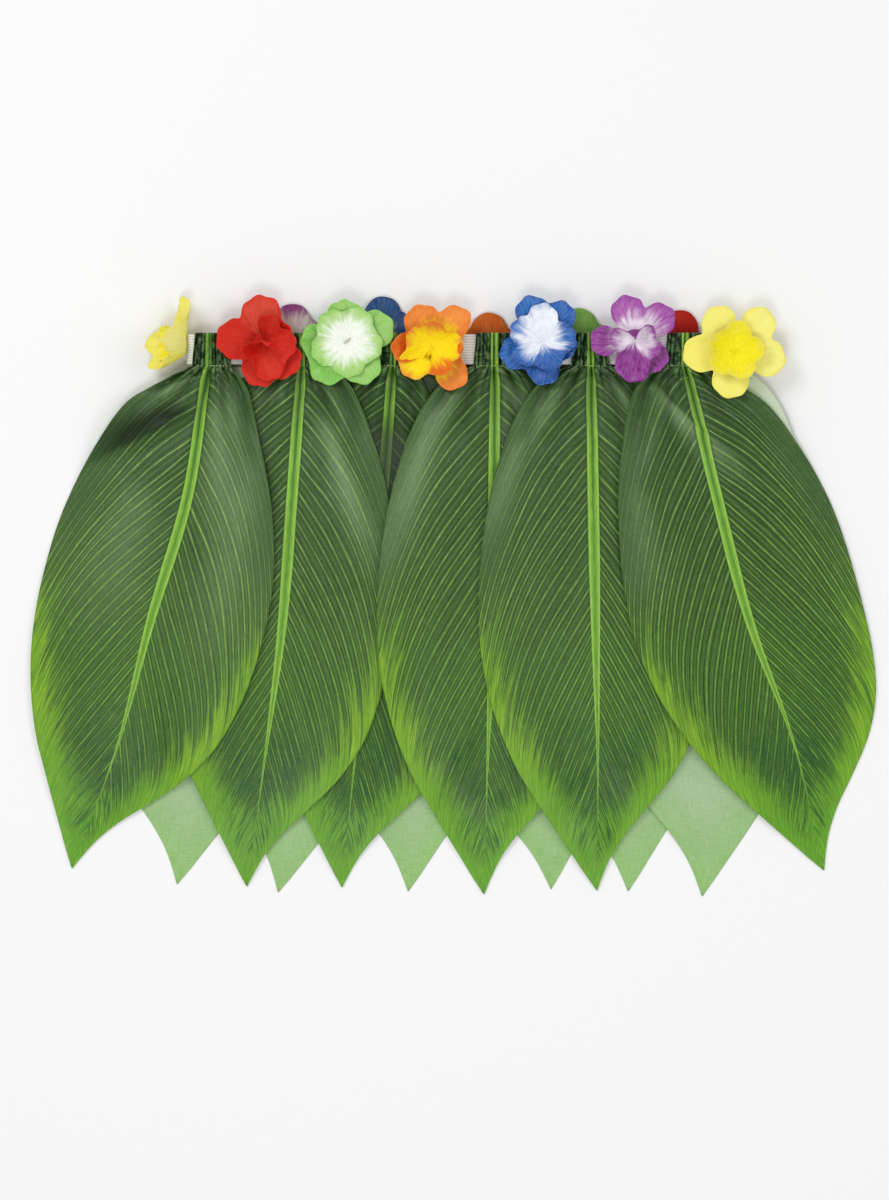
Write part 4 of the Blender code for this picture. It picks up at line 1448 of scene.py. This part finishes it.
def blank_edge(petals, angle):
    """How far the cloth reaches at each angle, with the notches between petals eased."""
    edge = 0 * angle + HUB_EDGE
    for petal in petals:
        off = off_angle(angle, petal.turn)
        inside = petal.round**2 - (petal.reach * np.sin(off)) ** 2
        disc = petal.reach * np.cos(off) + np.sqrt(np.maximum(inside, 0.0))
        edge = np.where((inside > 0) & (np.cos(off) > 0), np.maximum(edge, disc), edge)
    for _ in range(EDGE_ROUNDS):
        ring = edge[:, :-1]
        ring = (np.roll(ring, 1, 1) + 2 * ring + np.roll(ring, -1, 1)) / 4
        edge = np.concatenate([ring, ring[:, :1]], 1)
    return edge


def blended(petals, angle, column):
    """One of the petals' values at each angle, blending from petal to petal."""
    total, weights = 0 * angle, 0 * angle
    for petal in petals:
        weight = bell(off_angle(angle, petal.turn) / BLEND_ANGLE) + TINY_SHARE
        total = total + weight * getattr(petal, column)
        weights = weights + weight
    return total / weights


print("a far blank reaches", FAR_REACH + FAR_ROUND, "mm from its middle")

# %% [markdown]
# Each spoke is bent on its own. The result is how far each point lies from the middle in plan,
# and how high it stands.

# %% Bend the spokes
HUB_RISE = 1.6
TURN_LONG = 7.0
LEFT_FACING = -66.0


def flower_frame(flower):
    """Where the flower's middle is, and which way it faces."""
    turn = Matrix.Rotation(math.radians(flower.turn), 4, "Z")
    if flower.place == "front":
        height, facing = FRONT_ELASTIC_TOP + GAP, Matrix.Identity(4)
    elif flower.place == "back":
        height, facing = BACK_ELASTIC_LOW - GAP, Matrix.Rotation(math.pi, 4, "Y")
    else:
        height = (BACK_ELASTIC_LOW + FRONT_ELASTIC_TOP) / 2
        facing = Matrix.Rotation(math.radians(LEFT_FACING), 4, "Y")
    return Matrix.Translation((flower.x, flower.y, height)) @ facing @ turn


def bend_spokes(reach, shoulder, lift, roll):
    """The plan and rise of each point on spokes that turn up at the shoulder and roll on."""
    middle = (reach[1:] + reach[:-1]) / 2
    turned = ease((middle - shoulder) / TURN_LONG + 0.5)
    beyond = np.clip((middle - shoulder) / (reach[-1:] - shoulder), 0, 1)
    tilt = np.radians(lift * turned + roll * beyond)
    tilt = tilt + HUB_RISE / shoulder * (1 - turned)
    step = np.diff(reach, axis=0)
    plan = np.concatenate([reach[:1], reach[:1] + np.cumsum(step * np.cos(tilt), 0)])
    rise = np.concatenate([0 * reach[:1], np.cumsum(step * np.sin(tilt), 0)])
    return plan, rise


print("the left flower leans", -LEFT_FACING, "degrees off upright")

# %% [markdown]
# Stiff petal cloth never lies smooth. Its rim is wavy, heat pressed fine flutes into it along
# the spokes, its sides curl up, and the stitch crumples the inner blank. Each of these is a sum
# of uneven waves round the blank, shifted by the flower's number, so no two flowers are alike.
# A row of the ruffle's waves is how many go round, how far they shift, and how high they are.

# %% Ruffles, flutes and folds
RIM_WAVES = 16
RIM_WAVE_HIGH = 0.02
SIDE_CUP = 1.4
CUP_START = 0.3
HALF_PETAL = 0.63
INNER_RISE = 1.6
RUFFLE_WAVES = [(15, 1.0, 1.0), (8, 2.3, 0.7), (23, 1.0, 0.4)]
RIM_RUFFLE = 0.6
RUFFLE_START = 0.5
FLUTES = 31
INNER_FLUTE = 0.14
OUTER_FLUTE = 0.26
OUTER_CRUMPLE = 0.45


def petal_relief(flower, petals, angle, share, reach, index, inner):
    """How far each point of a blank stands off the plain bend of its spoke."""
    relief = INNER_RISE if inner else 0.0
    nearest = np.min([np.abs(off_angle(angle, petal.turn)) for petal in petals], 0)
    relief = relief + SIDE_CUP * (nearest / HALF_PETAL) ** 2 * ease((share - CUP_START) / (1 - CUP_START))
    waves = sum(high * np.sin(angle * count + shift * index) for count, shift, high in RUFFLE_WAVES)
    near_rim = ease((share - RUFFLE_START) / (1 - RUFFLE_START))
    relief = relief + RIM_RUFFLE * flower.ruffle * waves * near_rim
    flutes = np.sin(angle * FLUTES + 1.7 * index + 1.5 * np.sin(angle * 3 + index))
    flute_high = INNER_FLUTE if inner else OUTER_FLUTE
    relief = relief + flute_high * flutes * ease(share * 3) * (1 - 0.4 * share)
    folds = np.sin(reach * 0.5 + 2 * np.sin(angle * 4 + index)) * np.sin(angle * 7 + index * 2)
    folds = folds + 0.6 * np.sin(reach * 0.9 - 3 * np.sin(angle * 3 + index))
    return relief + flower.crumple * (1.0 if inner else OUTER_CRUMPLE) * folds * ease(share * 2)


print("an outer blank has flutes", OUTER_FLUTE, "mm high")

# %% [markdown]
# A near flower lies on the gathers as a whole: it is raised until nearly all of its hub clears
# them, and only what is still below them is pushed up. A far flower stays above the floor.

# %% Lay a blank
PETAL_WALL = 1.0
PETAL_CLEAR = 0.4
HUB_REST = 85


def laid_blank(flower, bent, reach, inner):
    """The points of the blank's lower face where it lies."""
    matrix = np.array(flower_frame(flower))
    points = bent @ matrix[:3, :3].T + matrix[:3, 3]
    far = flower.place == "back"
    lower_layers = int(inner != far)
    floor_z = (PETAL_WALL if far else 0.0) + lower_layers * (PETAL_WALL + GAP)
    points[:, :, 2] = np.maximum(points[:, :, 2], floor_z)
    if flower.place == "front":
        leaves_top = pile.under(points[:, :, 0], points[:, :, 1]) + PETAL_CLEAR
        under_hub = np.percentile(leaves_top[reach < HUB_EDGE], HUB_REST)
        points[:, :, 2] += max(under_hub - matrix[2, 3], 0.0)
        points[:, :, 2] = np.maximum(points[:, :, 2], leaves_top + (PETAL_WALL if inner else 0.0))
    return points, matrix[:3, 2]


print("a blank clears the leaves by", PETAL_CLEAR, "mm")

# %% [markdown]
# Put together, a blank is a grid whose rows are rings and whose columns are spokes.

# %% One blank
RINGS = 26
SPOKES = 156
FAR_RINGS = 12
FAR_SPOKES = 90
HOLE_RADIUS = 0.1
INNER_SHOULDER = 0.7
PETAL_THICK = 0.3
FACE_OFF = 0.65
BLANK_SEED = 3.0


def make_blank(flower, layer, index):
    inner = layer == "inner"
    far = flower.place == "back"
    name = f"{flower.name}_{layer}"
    petals = PETALS[name]
    angle = np.linspace(0, 2 * math.pi, (FAR_SPOKES if far else SPOKES) + 1)[None, :]
    share = np.linspace(0, 1, FAR_RINGS if far else RINGS)[:, None]
    edge = blank_edge(petals, angle)
    edge = edge * (1 + RIM_WAVE_HIGH * flower.ruffle * np.sin(angle * RIM_WAVES + index))
    reach = HOLE_RADIUS + (edge - HOLE_RADIUS) * share
    shoulder = flower.shoulder * (INNER_SHOULDER if inner else 1.0)
    lift, roll = blended(petals, angle, "lift"), blended(petals, angle, "roll")
    plan, rise = bend_spokes(reach, shoulder, lift, roll)
    rise = rise + petal_relief(flower, petals, angle, share, reach, index, inner)
    bent = np.stack([plan * np.cos(angle), plan * np.sin(angle), rise], 2)
    lower_face, facing = laid_blank(flower, bent, reach, inner)
    face = lower_face + facing_out(lower_face, facing) * FACE_OFF
    face[:, -1] = face[:, 0]

    maps = {
        "blank": np.stack([reach * np.cos(angle), reach * np.sin(angle)], 2),
        "edge": np.stack([edge - reach, 0 * reach + index * BLANK_SEED], 2),
        "petal": np.stack([blended(petals, angle, key) + 0 * reach for key in ("heart", "deep")], 2),
    }
    finish = petal_finishes[flower.colour, far]
    piece = cloth_piece(f"{name}_cloth", face, maps, [finish], facing, PETAL_THICK)
    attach(piece, "root")
    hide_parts(name)
    blank_area = area_under(edge[0] ** 2 / 2, angle[0])
    return face


print("a near blank has", SPOKES, "spokes and", RINGS, "rings")

# %% [markdown]
# ## Making them in order
# The far flowers lie on the floor, so they go on the pile first. Then come the leaves in the
# order of their table. The near flowers are sewn on last and lie on the leaves.

# %% Make flowers and leaves
blank_tops = {}
MIDDLE_RINGS = 4


def make_flowers(places):
    for index, flower in enumerate(FLOWERS):
        if flower.place in places:
            for layer, step in (("outer", 0.0), ("inner", 0.5)):
                face = make_blank(flower, layer, index + step)
                blank_tops[f"{flower.name}_{layer}"] = face[:MIDDLE_RINGS, :, 2].max()
                if flower.place == "back":
                    pile.add(face)


make_flowers(["back"])
for index, leaf in enumerate(LEAVES):
    made, leaf_face = make_leaf(leaf, index)
    top = leaf_face[..., 2].max()
    print(leaf.name, len(made.data.polygons), "faces, top at", round(top, 1), "mm")
make_flowers(["front", "left"])

# %% [markdown]
# ## One yarn stitch
# The green flower shows the yarn that holds it: one short slanted stitch over its middle, which
# goes down into the cloth at both ends.

# %% Yarn stitch
YARN_RADIUS = 0.55
YARN_PLACE = (-77.5, 5.6)
YARN_RUN = [(-2.6, -2.2, -1.2), (-1.9, -1.6, 0.3), (0, 0, 0.75), (1.9, 1.7, 0.3), (2.6, 2.3, -1.2)]
middle_top = blank_tops["flower_front_green_inner"]
run = [(YARN_PLACE[0] + x, YARN_PLACE[1] + y, middle_top + z) for x, y, z in YARN_RUN]
thread_runs("flower_front_green_stitch", [run], YARN_RADIUS, yarn)
print("yarn stitch at", round(middle_top, 1), "mm up")

# %% [markdown]
# ## The end
# The dressed skirt stands a little proud of the packed one. Last, the view layer is updated.

# %% Update the view layer
bpy.context.view_layer.update()
